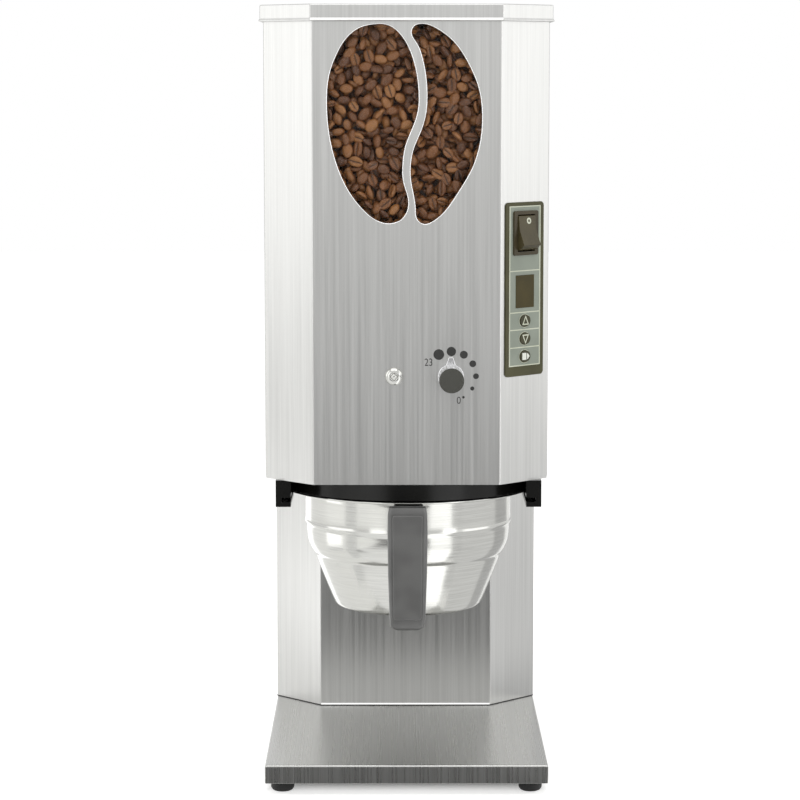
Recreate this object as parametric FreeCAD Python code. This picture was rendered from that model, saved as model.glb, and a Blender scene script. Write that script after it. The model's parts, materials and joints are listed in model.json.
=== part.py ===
import FreeCAD, Part
import math
import os

# Bulk coffee grinder with a bean window, a brew basket under it and a brushed steel body.
# Lengths are millimetres. X runs to the right, Y away from the viewer and Z up.
# The sub-parts are drawn from the base's front edge at table level, and at the end all of them
# are moved back together, so that the origin is under the middle of the object's own box.

V = FreeCAD.Vector
root_two = math.sqrt(2)

# Body envelope
body_width = 205.0
body_depth = 380.0
bend_run = 35.5
housing_setback = 4.8
column_setback = 190.0
bay_height = 203.8
housing_height = 337.9
sheet = 1.2
bend_radius = 2.0
flange_width = 12.0

# Shared clearances and one overrun for every cut
seat_gap = 0.2
part_gap = 0.3
run_clearance = 0.05
fit_clearance = 0.02
overrun = 3.0

# Base plate and feet
foot_lift = 9.1
rim_height = 13.6
base_sheet = 1.5
base_bend_radius = 1.5
foot_inset_x = 12.3
foot_inset_y = 18.0
foot_radius = 8.5
foot_round = 3.5
foot_recess_radius = 4.2
foot_recess_depth = 4.0
weld_nut_radius = 7.0
weld_nut_height = 5.0
column_screw_pitch = 55.0

# Screws: shank radius, head radius and head height
small_shank = 2.0
small_head = 3.6
small_head_height = 2.2
slot_width = 1.1
slot_length_share = 0.62
front_screw_shank = 3.0
front_screw_head = 6.5
front_screw_head_height = 3.2
front_screw_reach = 16.0

# Floor plate between housing and column
floor_sheet = 1.8
cable_hole_radius = 12.0
cable_hole_x = 62.0
cable_hole_inset = 62.0

# Lid
lid_sheet = 1.2
lid_overhang = 2.5
lid_skirt = 11.9
lid_top_round = 1.1

# Rear cover
cover_margin = 1.5
louvre_rows = 7
louvre_length = 56.0
louvre_height = 4.0
louvre_pitch = 12.0
louvre_column_x = 42.0
louvre_low_above_floor = 46.0
cover_screw_inset = 6.0
cover_screw_rows = 4
cover_screw_margin = 24.0

# Bean window: two lobes with a curved bar left between them
window_side_margin = 12.3
window_half_height = 70.2
window_below_top = 82.9
left_lobe_shares = [
    (-0.330, 0.999), (-0.151, 0.963), (-0.023, 0.864), (0.092, 0.686), (0.181, 0.311),
    (0.169, 0.133), (0.105, -0.025), (0.010, -0.210), (-0.028, -0.400), (-0.018, -0.580),
    (0.047, -0.777), (0.028, -0.875), (-0.048, -0.955), (-0.202, -0.994), (-0.356, -0.964),
    (-0.534, -0.856), (-0.713, -0.678), (-0.867, -0.421), (-0.969, -0.104), (-1.0, 0.251),
    (-0.969, 0.489), (-0.867, 0.706), (-0.739, 0.864), (-0.560, 0.967),
]
right_lobe_shares = [
    (0.157, 0.993), (0.259, 0.999), (0.437, 0.943), (0.642, 0.815), (0.821, 0.607),
    (0.950, 0.370), (1.0, 0.060), (0.950, -0.263), (0.847, -0.480), (0.693, -0.678),
    (0.515, -0.875), (0.361, -0.974), (0.259, -1.0), (0.169, -0.955), (0.144, -0.836),
    (0.092, -0.600), (0.084, -0.381), (0.131, -0.223), (0.207, -0.085), (0.272, 0.074),
    (0.296, 0.291), (0.279, 0.489), (0.233, 0.667), (0.157, 0.815), (0.092, 0.920),
]
pane_sheet = 3.0
pane_margin = 6.0
retainer_sheet = 1.5
retainer_lap = 3.0
retainer_rim = 5.0

# Hopper, from the mouth down to the throat
hopper_sheet = 1.2
hopper_rim_drop = 6.2
hopper_wall_gap = 2.8
hopper_depth = 190.0
hopper_flange = 7.0
hopper_flare_height = 36.0
hopper_box_side_gap = 7.0
hopper_box_corner = 4.0
hopper_box_below_window = 5.0
hopper_box_over_panel = 12.0
hopper_box_depth = 163.0
hopper_taper_height = 42.0
throat_half_width = 21.0
throat_corner = 6.0
throat_tube_sheet = 1.0
throat_tube_length = 15.0
beans_below_rim = 4.0
beans_gap = 1.0
hopper_screw_pitch = 62.0

# Top deck and frame posts
deck_sheet = 1.2
deck_front_reach = 41.0
post_leg = 18.0
post_sheet = 2.0
post_front = 208.0
post_rear_inset = 26.0

# Grinding unit: one axis from front to back
grinder_x = -9.0
grinder_above_floor = 76.2
boss_radius = 10.0
boss_length = 36.0
cover_disc = 8.0
chamber_radius = 50.0
chamber_wall = 8.0
chamber_length = 30.0
chamber_back = 6.0
bolt_count = 4
bolt_shank = 2.0
bolt_head = 3.5
bolt_head_height = 3.0
bolt_reach = 14.0
burr_radius = 40.0
burr_bore = 18.5
burr_thick = 6.0
burr_gap = 0.4
burr_teeth = 30
burr_groove = 1.6
burr_groove_width = 2.4
burr_screw_ring = 30.0
burr_screw_count = 3
burr_screw_shank = 2.0
burr_screw_head = 3.4
burr_screw_head_height = 1.8
carrier_thick = 6.0
carrier_gap = 2.0
carrier_radius = 38.0
feed_length = 38.0
feed_radius = 27.0
feed_cavity = 21.0
feed_back_wall = 4.0
auger_radius = 20.0
auger_core = 9.0
auger_flight = 3.0
auger_pitch = 16.0
flight_root_sink = 0.2
flight_steps = 16
neck_radius = 23.0
neck_bore = 18.0
neck_behind_chamber = 18.0
neck_height = 57.0
spout_radius = 11.5
spout_bore = 9.0
spout_drop = 4.5
rear_flange = 8.0
thrust_pin_radius = 1.5
thrust_pin_ring = 13.5
thrust_pin_count = 3
thrust_ring_inner = 9.0
thrust_ring_outer = 17.5
thrust_ring_thick = 1.5

# Setting gears
gear_module = 1.0
gear_teeth = 65
pinion_teeth = 16
pressure_angle = 20.0
gear_backlash = 0.16
addendum_share = 1.0
dedendum_share = 1.25
gear_thick = 8.0
gear_before_cover = 6.0
pinion_extra = 1.0
flank_steps = 4
web_hole_count = 6

# Knob
knob_radius = 8.8
knob_reach = 29.2
knob_standoff = 3.2
knob_flutes = 24
knob_flute_radius = 0.7
knob_dish_depth = 0.8
knob_dish_radius = 7.3
knob_shaft_radius = 3.0
knob_bore_depth = 15.0
shaft_end_depth = 6.0
pointer_sheet = 2.0
pointer_hub = 9.3
pointer_reach = 14.0
pointer_half_width = 6.2
pointer_tip_half_width = 1.6
bushing_flange_radius = 7.5
bushing_flange = 0.8
bushing_radius = 5.0
bushing_length = 12.0

# Motor
motor_shaft_radius = 6.0
motor_radius = 48.0
motor_wall = 2.5
motor_length = 124.0
stator_offset = 24.0
stator_length = 65.0
stator_bore = 27.0
air_gap = 0.5
slot_count = 18
slot_inner = 28.6
slot_outer = 38.0
slot_gap_width = 4.4
coil_overhang = 10.0
rotor_ring_radius = 24.0
rotor_ring_length = 5.0
bell_thick = 6.0
bell_boss_radius = 16.0
bell_boss_length = 6.0
bell_vent_radius = 6.0
bell_vent_ring = 32.0
bell_vent_count = 6
bearing_radius = 14.0
bearing_width = 8.0
rear_bearing_radius = 11.0
rear_bearing_width = 7.0
fan_gap = 5.0
fan_radius = 38.0
fan_hub = 11.0
fan_disc = 1.5
fan_blade_sheet = 1.5
fan_blade_width = 12.0
fan_blades = 9
cowl_sheet = 1.2
cowl_length = 27.0
cowl_vent_count = 12
cowl_vent_radius = 4.0
cowl_vent_ring = 28.0
shaft_tail = 3.0
bracket_sheet = 2.5
bracket_half_width = 46.0
bracket_collar = 12.0
bracket_collar_wall = 2.5
bracket_offset = 22.0
bracket_length = 84.0
mount_radius = 8.0
mount_height = 6.0
mount_inset = 12.0

# Outlet chute
outlet_x = -5.0
outlet_y = 78.0
outlet_radius = 20.5
chute_sheet = 1.5
chute_tube_height = 12.0
chute_flange_radius = 30.0

# Run capacitor, upright on its stud
capacitor_radius = 17.0
capacitor_length = 70.0
capacitor_from_side = 32.5
capacitor_y = 262.0
capacitor_stud = 4.0
capacitor_stud_reach = 8.0
capacitor_tag = 6.0
capacitor_tag_pitch = 14.0

# Control panel on the right-hand corner face, measured along that face from the front bend
panel_middle = 23.9
panel_width = 39.8
panel_height = 124.5
panel_below_top = 138.3
panel_sheet = 1.0
panel_corner = 3.0
field_margin_x = 3.5
field_margin_low = 7.1
field_margin_top = 2.6
field_sheet = 0.5
field_corner = 1.5
switch_middle_below_panel_top = 22.0
bezel_width = 25.4
bezel_height = 31.6
bezel_proud = 1.4
bezel_corner = 1.5
switch_body_depth = 18.0
switch_body_margin = 2.2
rocker_width = 17.5
rocker_radius = 12.9
rocker_pivot_depth = 1.5
rocker_nose = 8.4
rocker_top_proud = 0.6
rocker_hollow = 1.6
rocker_pin_radius = 1.5
display_width = 19.0
display_height = 23.3
display_middle_below_panel_top = 63.8
display_proud = 0.3
display_depth = 2.6
key_count = 3
key_width = 10.4
key_height = 8.5
key_first_below_panel_top = 84.9
key_pitch = 12.8
key_proud = 1.0
key_depth = 3.4
key_travel = 0.5
board_width = 34.0
board_length = 84.0
board_sheet = 1.6
board_stand_off = 9.0
board_post_radius = 2.2
board_post_inset = 3.5
board_chip = 8.0
board_chip_height = 2.4
relay_length = 19.0
relay_width = 15.0
relay_height = 13.0

# Basket and its guide
basket_x = 1.5
basket_behind_front = 94.6
guide_radius = 95.0
guide_top_sheet = 2.5
guide_skirt = 11.8
guide_wall = 3.0
guide_rear = 185.0
rail_half_outer = 96.2
rail_half_inner = 85.2
rail_drop = 19.4
rail_front = 27.0
groove_depth = 7.0
groove_play = 0.6
guide_screw_radius_share = 0.72
bowl_sheet = 1.0
bowl_rim_radius = 90.5
bowl_rim_below_guide = 1.3
bowl_rim_sheet = 2.4
bowl_band_radius = 76.8
bowl_height = 91.0
bowl_drain_radius = 4.5
bowl_profile_shares = [
    (1.0, 0.290), (0.988, 0.313), (0.989, 0.336), (0.982, 0.417), (0.957, 0.488),
    (0.927, 0.543), (0.905, 0.578), (0.878, 0.635), (0.716, 0.969), (0.648, 1.0),
]
grip_front = -15.0
grip_below_rim = 0.9
grip_height = 88.9
grip_width = 28.6
grip_thick = 12.5
grip_corner = 3.0
grip_aside = 0.9
grip_section_shares = [
    (0.0, 0.80, 0.58), (0.035, 0.87, 0.84), (0.12, 0.90, 0.96), (0.45, 0.97, 1.0),
    (0.80, 1.0, 1.0), (0.945, 0.98, 1.0), (1.0, 0.92, 0.82),
]
grip_pocket_half = 11.6
grip_pocket_thick = 7.2
grip_pocket_depth = 10.0
grip_pocket_corner = 2.0
arm_width = 21.0
arm_height = 14.0
arm_below_top = 3.0
rivet_radius = 2.4
rivet_head = 4.0
rivet_head_height = 1.4
rivet_spacing = 11.0
rivet_reach = 10.0

# Cord gland in the rear cover
gland_x = 60.0
gland_above_base = 40.0
gland_bore = 4.0
gland_radius = 9.0
gland_neck = 7.5
gland_proud = 12.0
gland_inner = 8.0

# Levels and planes that follow from the sizes above
half_width = body_width / 2
front_flat = half_width - bend_run
window_half_width = front_flat - window_side_margin
hopper_box_half_width = front_flat - hopper_box_side_gap
capacitor_x = half_width - capacitor_from_side
base_top = foot_lift + rim_height
floor_under = base_top + bay_height
housing_low = floor_under + floor_sheet
housing_top = housing_low + housing_height
housing_front = housing_setback
inner_front = housing_front + sheet
column_front = housing_front + column_setback
lid_under = housing_top + seat_gap
lid_top = lid_under + lid_sheet
lid_low = lid_top - lid_skirt
cover_back = body_depth + sheet
window_z = housing_top - window_below_top
pane_back = inner_front + pane_sheet
retainer_back = pane_back + retainer_sheet
hopper_rim = housing_top - hopper_rim_drop
hopper_front = retainer_back
hopper_back = hopper_front + hopper_depth
box_low = window_z - window_half_height - hopper_box_below_window
panel_top = housing_top - panel_below_top
box_high = panel_top + hopper_box_over_panel
flare_high = box_high + hopper_flare_height
taper_low = box_low - hopper_taper_height
grinder_z = housing_low + grinder_above_floor
cover_front = inner_front + boss_length
chamber_front = cover_front + cover_disc
chamber_rear = chamber_front + chamber_length
cavity_rear = chamber_rear - chamber_back
cavity_radius = chamber_radius - chamber_wall
carrier_front = chamber_front + carrier_gap
carrier_rear = carrier_front + carrier_thick
rotating_rear = carrier_rear + burr_thick
fixed_front = rotating_rear + burr_gap
feed_rear = chamber_rear + feed_length
flange_rear = feed_rear + rear_flange
neck_y = chamber_rear + neck_behind_chamber
neck_top = grinder_z + neck_height
spout_y = (chamber_front + cavity_rear) / 2
spout_low = grinder_z - chamber_radius - spout_drop
gear_rear = cover_front - gear_before_cover
gear_front = gear_rear - gear_thick
gear_spacing = gear_module * (gear_teeth + pinion_teeth) / 2
knob_x = grinder_x + gear_spacing
motor_front = flange_rear
motor_rear = motor_front + motor_length
stator_front = motor_front + stator_offset
stator_rear = stator_front + stator_length
bell_rear = motor_rear + bell_thick
fan_front = bell_rear + fan_gap
fan_rear = fan_front + fan_disc + fan_blade_width
cowl_rear = bell_rear + cowl_length
shaft_rear = fan_rear + shaft_tail
panel_low = panel_top - panel_height
basket_y = housing_front + basket_behind_front
guide_low = floor_under - guide_skirt
rail_low = floor_under - rail_drop
rim_top = guide_low - bowl_rim_below_guide
rim_low = rim_top - bowl_rim_sheet
bowl_low = rim_top - bowl_height
grip_low = rim_top - grip_below_rim - grip_height
front_reach = housing_front - knob_reach
rear_reach = cover_back + gland_proud
origin_y = (front_reach + rear_reach) / 2

nodes = {}
housing_screws = []


def keep(name, *shapes):
    """Give a sub-part its name; several solids under one name stay separate."""
    nodes[name] = shapes[0] if len(shapes) == 1 else Part.makeCompound(list(shapes))


def box(x0, x1, y0, y1, z0, z1):
    return Part.makeBox(x1 - x0, y1 - y0, z1 - z0, V(x0, y0, z0))


def rod(radius, start, end):
    """Cylinder from one point to another."""
    run = end.sub(start)
    return Part.makeCylinder(radius, run.Length, start, run)


def rod_y(radius, x, z, y0, y1):
    return rod(radius, V(x, y0, z), V(x, y1, z))


def rod_z(radius, x, y, z0, z1):
    return rod(radius, V(x, y, z0), V(x, y, z1))


def ring_y(outer, inner, x, z, y0, y1):
    return rod_y(outer, x, z, y0, y1).cut(rod_y(inner, x, z, y0 - overrun, y1 + overrun))


def ring_z(outer, inner, x, y, z0, z1):
    return rod_z(outer, x, y, z0, z1).cut(rod_z(inner, x, y, z0 - overrun, z1 + overrun))


def outline(points, z, radius=0.0, rounded=()):
    """Closed flat wire through plan points; the corners listed in rounded become arcs."""
    corners = [V(x, y, z) for x, y in points]
    count = len(corners)
    ends = []
    arcs = []
    for i in range(count):
        corner = corners[i]
        if i not in rounded:
            ends.append((corner, corner))
            continue
        back_way = corners[i - 1].sub(corner).normalize()
        fore_way = corners[(i + 1) % count].sub(corner).normalize()
        half = back_way.getAngle(fore_way) / 2
        inward = back_way.add(fore_way).normalize()
        tangent = radius / math.tan(half)
        start = corner.add(back_way * tangent)
        end = corner.add(fore_way * tangent)
        middle = corner.add(inward * (radius / math.sin(half) - radius))
        arcs.append(Part.Arc(start, middle, end).toShape())
        ends.append((start, end))
    lines = [Part.makeLine(ends[i - 1][1], ends[i][0]) for i in range(count)]
    return Part.Wire(Part.__sortEdges__(lines + arcs))


def prism(points, z0, z1, radius=0.0, rounded=()):
    return Part.Face(outline(points, z0, radius, rounded)).extrude(V(0, 0, z1 - z0))


def rectangle(x0, x1, y0, y1):
    return [(x0, y0), (x1, y0), (x1, y1), (x0, y1)]


def body_plan(face, inset, rear, front=None):
    """Plan of the body, drawn in by inset: a flat front, two 45 degree corner faces and two sides.

    The face is the un-inset front plane. Points run from the right of the front round to the left.
    """
    if front is None:
        front = face + inset
    slant = front_flat - face - inset * root_two
    side = half_width - inset
    right = [(slant + front, front), (side, side - slant), (side, rear)]
    return right + [(-x, y) for x, y in reversed(right)]


bends = (0, 1, 4, 5)


def smooth_wire(points):
    """Closed smooth curve through points."""
    curve = Part.BSplineCurve()
    curve.interpolate(Points=points, PeriodicFlag=True)
    return Part.Wire(curve.toShape())


def cross_slot(radius, depth):
    """Cross recess cutter, centred on zero, that points down Z."""
    reach = radius * slot_length_share
    half = slot_width / 2
    return box(-reach, reach, -half, half, -depth, overrun).fuse(
        box(-half, half, -reach, reach, -depth, overrun))


def pan_screw(seat, way, reach, shank=None, head=None, height=None):
    """Pan head screw: seat is under the head, way points out of the head."""
    shank = shank or small_shank
    head = head or small_head
    height = height or small_head_height
    body = Part.makeCylinder(head, height / 2)
    dome = Part.makeCone(head, head * slot_length_share, height / 2, V(0, 0, height / 2))
    body = body.fuse(dome).fuse(Part.makeCylinder(shank, reach, V(0, 0, -reach)))
    slot = cross_slot(head, height / 2)
    slot.translate(V(0, 0, height))
    body = body.cut(slot)
    body.Placement = FreeCAD.Placement(seat, FreeCAD.Rotation(V(0, 0, 1), way))
    return body


def mirrored(shape):
    return shape.mirror(V(0, 0, 0), V(1, 0, 0))


def column_screw_places():
    y = column_front + sheet + flange_width / 2
    return [(i * column_screw_pitch, y) for i in (-1, 0, 1)]


def base_and_feet():
    tray = prism(rectangle(-half_width, half_width, 0, body_depth), foot_lift, base_top,
                 base_bend_radius, (0, 1, 2, 3))
    top_edges = [e for e in tray.Edges if abs(e.BoundBox.ZMin - base_top) < fit_clearance]
    tray = tray.makeFillet(base_bend_radius, top_edges)
    inner = prism(rectangle(base_sheet - half_width, half_width - base_sheet,
                            base_sheet, body_depth - base_sheet),
                  foot_lift - overrun, base_top - base_sheet)
    tray = tray.cut(inner)
    places = [(sx * (half_width - foot_inset_x), y)
              for sx in (-1, 1) for y in (foot_inset_y, body_depth - foot_inset_y)]
    feet = []
    screws = []
    under = base_top - base_sheet
    nut_low = under - weld_nut_height
    for x, y in places:
        foot = rod_z(foot_radius, x, y, 0, nut_low)
        low = [e for e in foot.Edges if e.BoundBox.ZMax < fit_clearance]
        foot = foot.makeFillet(foot_round, low)
        foot = foot.cut(rod_z(foot_recess_radius, x, y, -overrun, foot_recess_depth))
        foot = foot.cut(rod_z(small_shank + run_clearance, x, y, 0, under + overrun))
        feet.append(foot)
        tray = tray.fuse(rod_z(weld_nut_radius, x, y, nut_low, under))
        tray = tray.cut(rod_z(small_shank + run_clearance, x, y, nut_low - overrun, under))
        reach = under - seat_gap - foot_recess_depth
        screws.append(pan_screw(V(x, y, foot_recess_depth), V(0, 0, -1), reach))
    fixings = []
    for x, y in column_screw_places():
        tray = tray.cut(rod_z(small_shank + run_clearance, x, y, foot_lift, base_top + overrun))
        fixings.append(pan_screw(V(x, y, base_top - base_sheet), V(0, 0, -1),
                                 base_sheet + sheet + seat_gap))
    keep("base_plate", tray)
    keep("rubber_feet", *feet)
    keep("base_screws", *screws, *fixings)


def wrap(face, z0, z1, thick):
    """Folded sheet with the body's plan and inward flanges at its two rear edges."""
    outer = prism(body_plan(face, 0, body_depth), z0, z1, bend_radius, bends)
    inner = prism(body_plan(face, thick, body_depth + overrun), z0 - overrun, z1 + overrun,
                  bend_radius - thick, bends)
    shell = outer.cut(inner)
    for sx in (-1, 1):
        edge = sx * half_width
        lip = sx * (half_width - flange_width)
        shell = shell.fuse(box(min(edge, lip), max(edge, lip), body_depth - thick, body_depth, z0, z1))
    return shell.removeSplitter()


def cover_screw_heights():
    low = base_top + cover_screw_margin
    high = housing_top - cover_screw_margin
    step = (high - low) / (cover_screw_rows - 1)
    return [low + step * i for i in range(cover_screw_rows)]


def cover_screw_places():
    x = half_width - cover_screw_inset
    return [(sx * x, z) for sx in (-1, 1) for z in cover_screw_heights()]


def drill_back(shape):
    for x, z in cover_screw_places():
        shape = shape.cut(rod_y(small_shank + run_clearance, x, z,
                                body_depth - overrun, body_depth + overrun))
    return shape


def column():
    shell = wrap(column_front, base_top, floor_under, sheet)
    lip = prism(body_plan(column_front, sheet, body_depth - sheet), base_top, base_top + sheet)
    lip = lip.cut(prism(body_plan(column_front, sheet + flange_width, body_depth + overrun),
                        base_top - overrun, base_top + sheet + overrun))
    top_lip = lip.copy()
    top_lip.translate(V(0, 0, bay_height - sheet))
    shell = shell.fuse([lip, top_lip]).removeSplitter()
    for x, y in column_screw_places():
        shell = shell.cut(rod_z(small_shank + run_clearance, x, y, base_top - overrun,
                                base_top + sheet + overrun))
    keep("column_shell", drill_back(shell))


def lobe(shares, z_middle, y0, y1):
    points = [V(u * window_half_width, y0, z_middle + v * window_half_height) for u, v in shares]
    return Part.Face(smooth_wire(points)).extrude(V(0, y1 - y0, 0))


def on_corner_face(shape):
    """Move a shape drawn flat onto the right-hand corner face.

    It is drawn with X along the face from the front bend, Y inwards and Z up.
    """
    placed = shape.copy()
    placed.rotate(V(0, 0, 0), V(0, 0, 1), 45)
    placed.translate(V(front_flat, housing_front, 0))
    return placed


def housing():
    shell = wrap(housing_front, housing_low, housing_top, sheet)
    y0 = housing_front - overrun
    y1 = inner_front + overrun
    shell = shell.cut(lobe(left_lobe_shares, window_z, y0, y1))
    shell = shell.cut(lobe(right_lobe_shares, window_z, y0, y1))
    shell = shell.cut(rod_y(bushing_radius + fit_clearance, knob_x, grinder_z, y0, y1))
    shell = shell.cut(rod_y(front_screw_shank + part_gap, grinder_x, grinder_z, y0, y1))
    switch_z = panel_top - switch_middle_below_panel_top
    half = bezel_width / 2 - switch_body_margin + part_gap
    tall = bezel_height / 2 - switch_body_margin + part_gap
    shell = shell.cut(on_corner_face(box(panel_middle - half, panel_middle + half, -overrun,
                                         sheet + overrun, switch_z - tall, switch_z + tall)))
    low = panel_top - key_first_below_panel_top - 2 * key_pitch - key_height
    high = panel_top - display_middle_below_panel_top + display_height / 2 + part_gap
    half = display_width / 2 + part_gap
    shell = shell.cut(on_corner_face(box(panel_middle - half, panel_middle + half, -overrun,
                                         sheet + overrun, low, high)))
    for x in (-1, 1):
        place = panel_middle + x * (board_width / 2 - board_post_inset)
        for z in (panel_low + board_post_inset * 2, panel_low + board_length):
            post = rod(board_post_radius, V(place, sheet / 2, z), V(place, sheet + board_stand_off, z))
            shell = shell.fuse(on_corner_face(post))
    keep("housing_shell", drill_back(shell))

    plan = body_plan(housing_front, part_gap, body_depth - sheet - part_gap)
    plate = prism(plan, floor_under, housing_low, bend_radius, bends)
    plate = plate.cut(rod_z(outlet_radius + part_gap, outlet_x, outlet_y,
                            floor_under - overrun, housing_low + overrun))
    plate = plate.cut(rod_z(cable_hole_radius, cable_hole_x, body_depth - cable_hole_inset,
                            floor_under - overrun, housing_low + overrun))
    plate = plate.cut(rod_z(capacitor_stud + run_clearance, capacitor_x, capacitor_y,
                            floor_under - overrun, housing_low + overrun))
    for x, y in guide_screw_places():
        plate = plate.cut(rod_z(small_shank + run_clearance, x, y,
                                floor_under - overrun, housing_low + overrun))
    keep("housing_floor", plate)


def lid():
    edge = -lid_overhang
    plan = body_plan(housing_front, edge, body_depth + lid_overhang)
    outer = prism(plan, lid_low, lid_top, bend_radius, bends)
    rim = [e for e in outer.Edges if abs(e.BoundBox.ZMin - lid_top) < fit_clearance]
    outer = outer.makeFillet(lid_top_round, rim)
    inner = prism(body_plan(housing_front, edge + lid_sheet, body_depth + lid_overhang - lid_sheet),
                  lid_low - overrun, lid_under)
    keep("lid", outer.cut(inner))


def rear_cover():
    side = half_width - cover_margin
    low = base_top + cover_margin
    high = lid_low - cover_margin
    plate = box(-side, side, body_depth, cover_back, low, high)
    for sx in (-1, 1):
        for row in range(louvre_rows):
            z = housing_low + louvre_low_above_floor + row * louvre_pitch
            x = sx * louvre_column_x
            half = louvre_length / 2 - louvre_height / 2
            slot = box(x - half, x + half, body_depth - overrun, cover_back + overrun,
                       z - louvre_height / 2, z + louvre_height / 2)
            for end in (-half, half):
                slot = slot.fuse(rod_y(louvre_height / 2, x + end, z,
                                       body_depth - overrun, cover_back + overrun))
            plate = plate.cut(slot)
    gland_z = base_top + gland_above_base
    plate = plate.cut(rod_y(gland_neck + fit_clearance, gland_x, gland_z,
                            body_depth - overrun, cover_back + overrun))
    keep("rear_cover", drill_back(plate))
    housing_screws.extend(pan_screw(V(x, cover_back, z), V(0, 1, 0), sheet * 2 + overrun)
                          for x, z in cover_screw_places())
    inner = body_depth - sheet - gland_inner
    gland = rod_y(gland_neck, gland_x, gland_z, inner, cover_back)
    gland = gland.fuse(rod_y(gland_radius, gland_x, gland_z, cover_back, cover_back + gland_proud / 2))
    nose = Part.makeCone(gland_radius, gland_neck, gland_proud / 2,
                         V(gland_x, cover_back + gland_proud / 2, gland_z), V(0, 1, 0))
    gland = gland.fuse(nose)
    gland = gland.fuse(rod_y(gland_radius, gland_x, gland_z, inner, body_depth - sheet))
    gland = gland.cut(rod_y(gland_bore, gland_x, gland_z, inner - overrun, rear_reach + overrun))
    keep("cord_gland", gland)


def window():
    wide = window_half_width + pane_margin
    tall = window_half_height + pane_margin
    high = min(window_z + tall, hopper_rim)
    keep("window_pane", box(-wide, wide, inner_front, pane_back, window_z - tall, high))
    wide = wide + retainer_rim
    inner_wide = window_half_width + retainer_lap
    inner_tall = window_half_height + retainer_lap
    frame = box(-wide, wide, pane_back, retainer_back, window_z - tall - retainer_rim, high)
    frame = frame.cut(box(-inner_wide, inner_wide, pane_back - overrun, retainer_back + overrun,
                          window_z - inner_tall, window_z + inner_tall))
    leg = retainer_rim - part_gap
    for sx in (-1, 1):
        outer_x = sx * wide
        inner_x = sx * (wide - leg)
        legs = box(min(outer_x, inner_x), max(outer_x, inner_x), inner_front, pane_back,
                   window_z - tall, high)
        frame = frame.fuse(legs)
    keep("window_retainer", frame.removeSplitter())


def hopper_plan(level, inset):
    """Plan of the hopper at one of its levels: mouth, box or throat."""
    if level == "mouth":
        side = half_width - sheet - hopper_wall_gap - inset
        slant = front_flat - housing_front - (sheet + hopper_wall_gap + inset) * root_two
        front = hopper_front + inset
        rear = hopper_back - inset
        right = [(slant + front, front), (side, side - slant), (side, rear)]
        return right + [(-x, y) for x, y in reversed(right)]
    if level == "box":
        side = hopper_box_half_width - inset
        front = hopper_front + inset
        rear = hopper_front + hopper_box_depth - inset
        corner = hopper_box_corner
        right = [(side - corner, front), (side, front + corner), (side, rear)]
        return right + [(-x, y) for x, y in reversed(right)]
    side = throat_half_width - inset
    corner = throat_corner
    front = neck_y - side
    rear = neck_y + side
    right = [(side - corner, front), (side, front + corner), (side, rear)]
    return [(grinder_x + x, y) for x, y in right] + [(grinder_x - x, y) for x, y in reversed(right)]


def hopper_core(inset, low, high):
    levels = [("throat", low), ("box", box_low), ("box", box_high), ("mouth", flare_high),
              ("mouth", high)]
    wires = [outline(hopper_plan(level, inset), z) for level, z in levels]
    return Part.makeLoft(wires, True, True)


def hopper():
    body = hopper_core(0, taper_low, hopper_rim)
    body = body.cut(hopper_core(hopper_sheet, taper_low + hopper_sheet, hopper_rim + overrun))
    inner_wide = window_half_width + retainer_lap
    inner_tall = window_half_height + retainer_lap
    body = body.cut(box(-inner_wide, inner_wide, hopper_front - overrun,
                        hopper_front + hopper_sheet + overrun + part_gap,
                        window_z - inner_tall, window_z + inner_tall))
    side = half_width - sheet - part_gap
    flange = prism(rectangle(-side, side, housing_front + deck_front_reach,
                             hopper_back + hopper_flange), hopper_rim - hopper_sheet, hopper_rim)
    flange = flange.cut(prism(hopper_plan("mouth", hopper_sheet / 2),
                              hopper_rim - hopper_sheet - overrun, hopper_rim + overrun))
    body = body.fuse(flange)
    tube_radius = neck_bore - part_gap
    tube = rod_z(tube_radius, grinder_x, neck_y, taper_low - throat_tube_length,
                 taper_low + hopper_sheet)
    body = body.fuse(tube)
    body = body.cut(rod_z(tube_radius - throat_tube_sheet, grinder_x, neck_y,
                          taper_low - throat_tube_length - overrun, taper_low + hopper_sheet))
    places = hopper_screw_places()
    for x, y in places:
        body = body.cut(rod_z(small_shank + run_clearance, x, y,
                              hopper_rim - hopper_sheet - overrun, hopper_rim + overrun))
    keep("bean_hopper", body.removeSplitter())
    housing_screws.extend(pan_screw(V(x, y, hopper_rim), V(0, 0, 1), hopper_sheet + deck_sheet)
                          for x, y in places)
    beans = hopper_core(hopper_sheet + beans_gap, taper_low + hopper_sheet + beans_gap,
                        hopper_rim - beans_below_rim)
    wide = inner_wide - part_gap
    tall = inner_tall - part_gap
    beans = beans.fuse(box(-wide, wide, pane_back + part_gap, hopper_front + hopper_sheet + overrun,
                           window_z - tall, min(window_z + tall, hopper_rim - beans_below_rim)))
    keep("coffee_beans", beans.removeSplitter())
    gasket = ring_z(neck_radius, neck_bore, grinder_x, neck_y, neck_top + fit_clearance,
                    taper_low - fit_clearance)
    keep("inlet_gasket", gasket)


def hopper_screw_places():
    y = hopper_back + hopper_flange / 2
    return [(i * hopper_screw_pitch, y) for i in (-1, 0, 1)]


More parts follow.
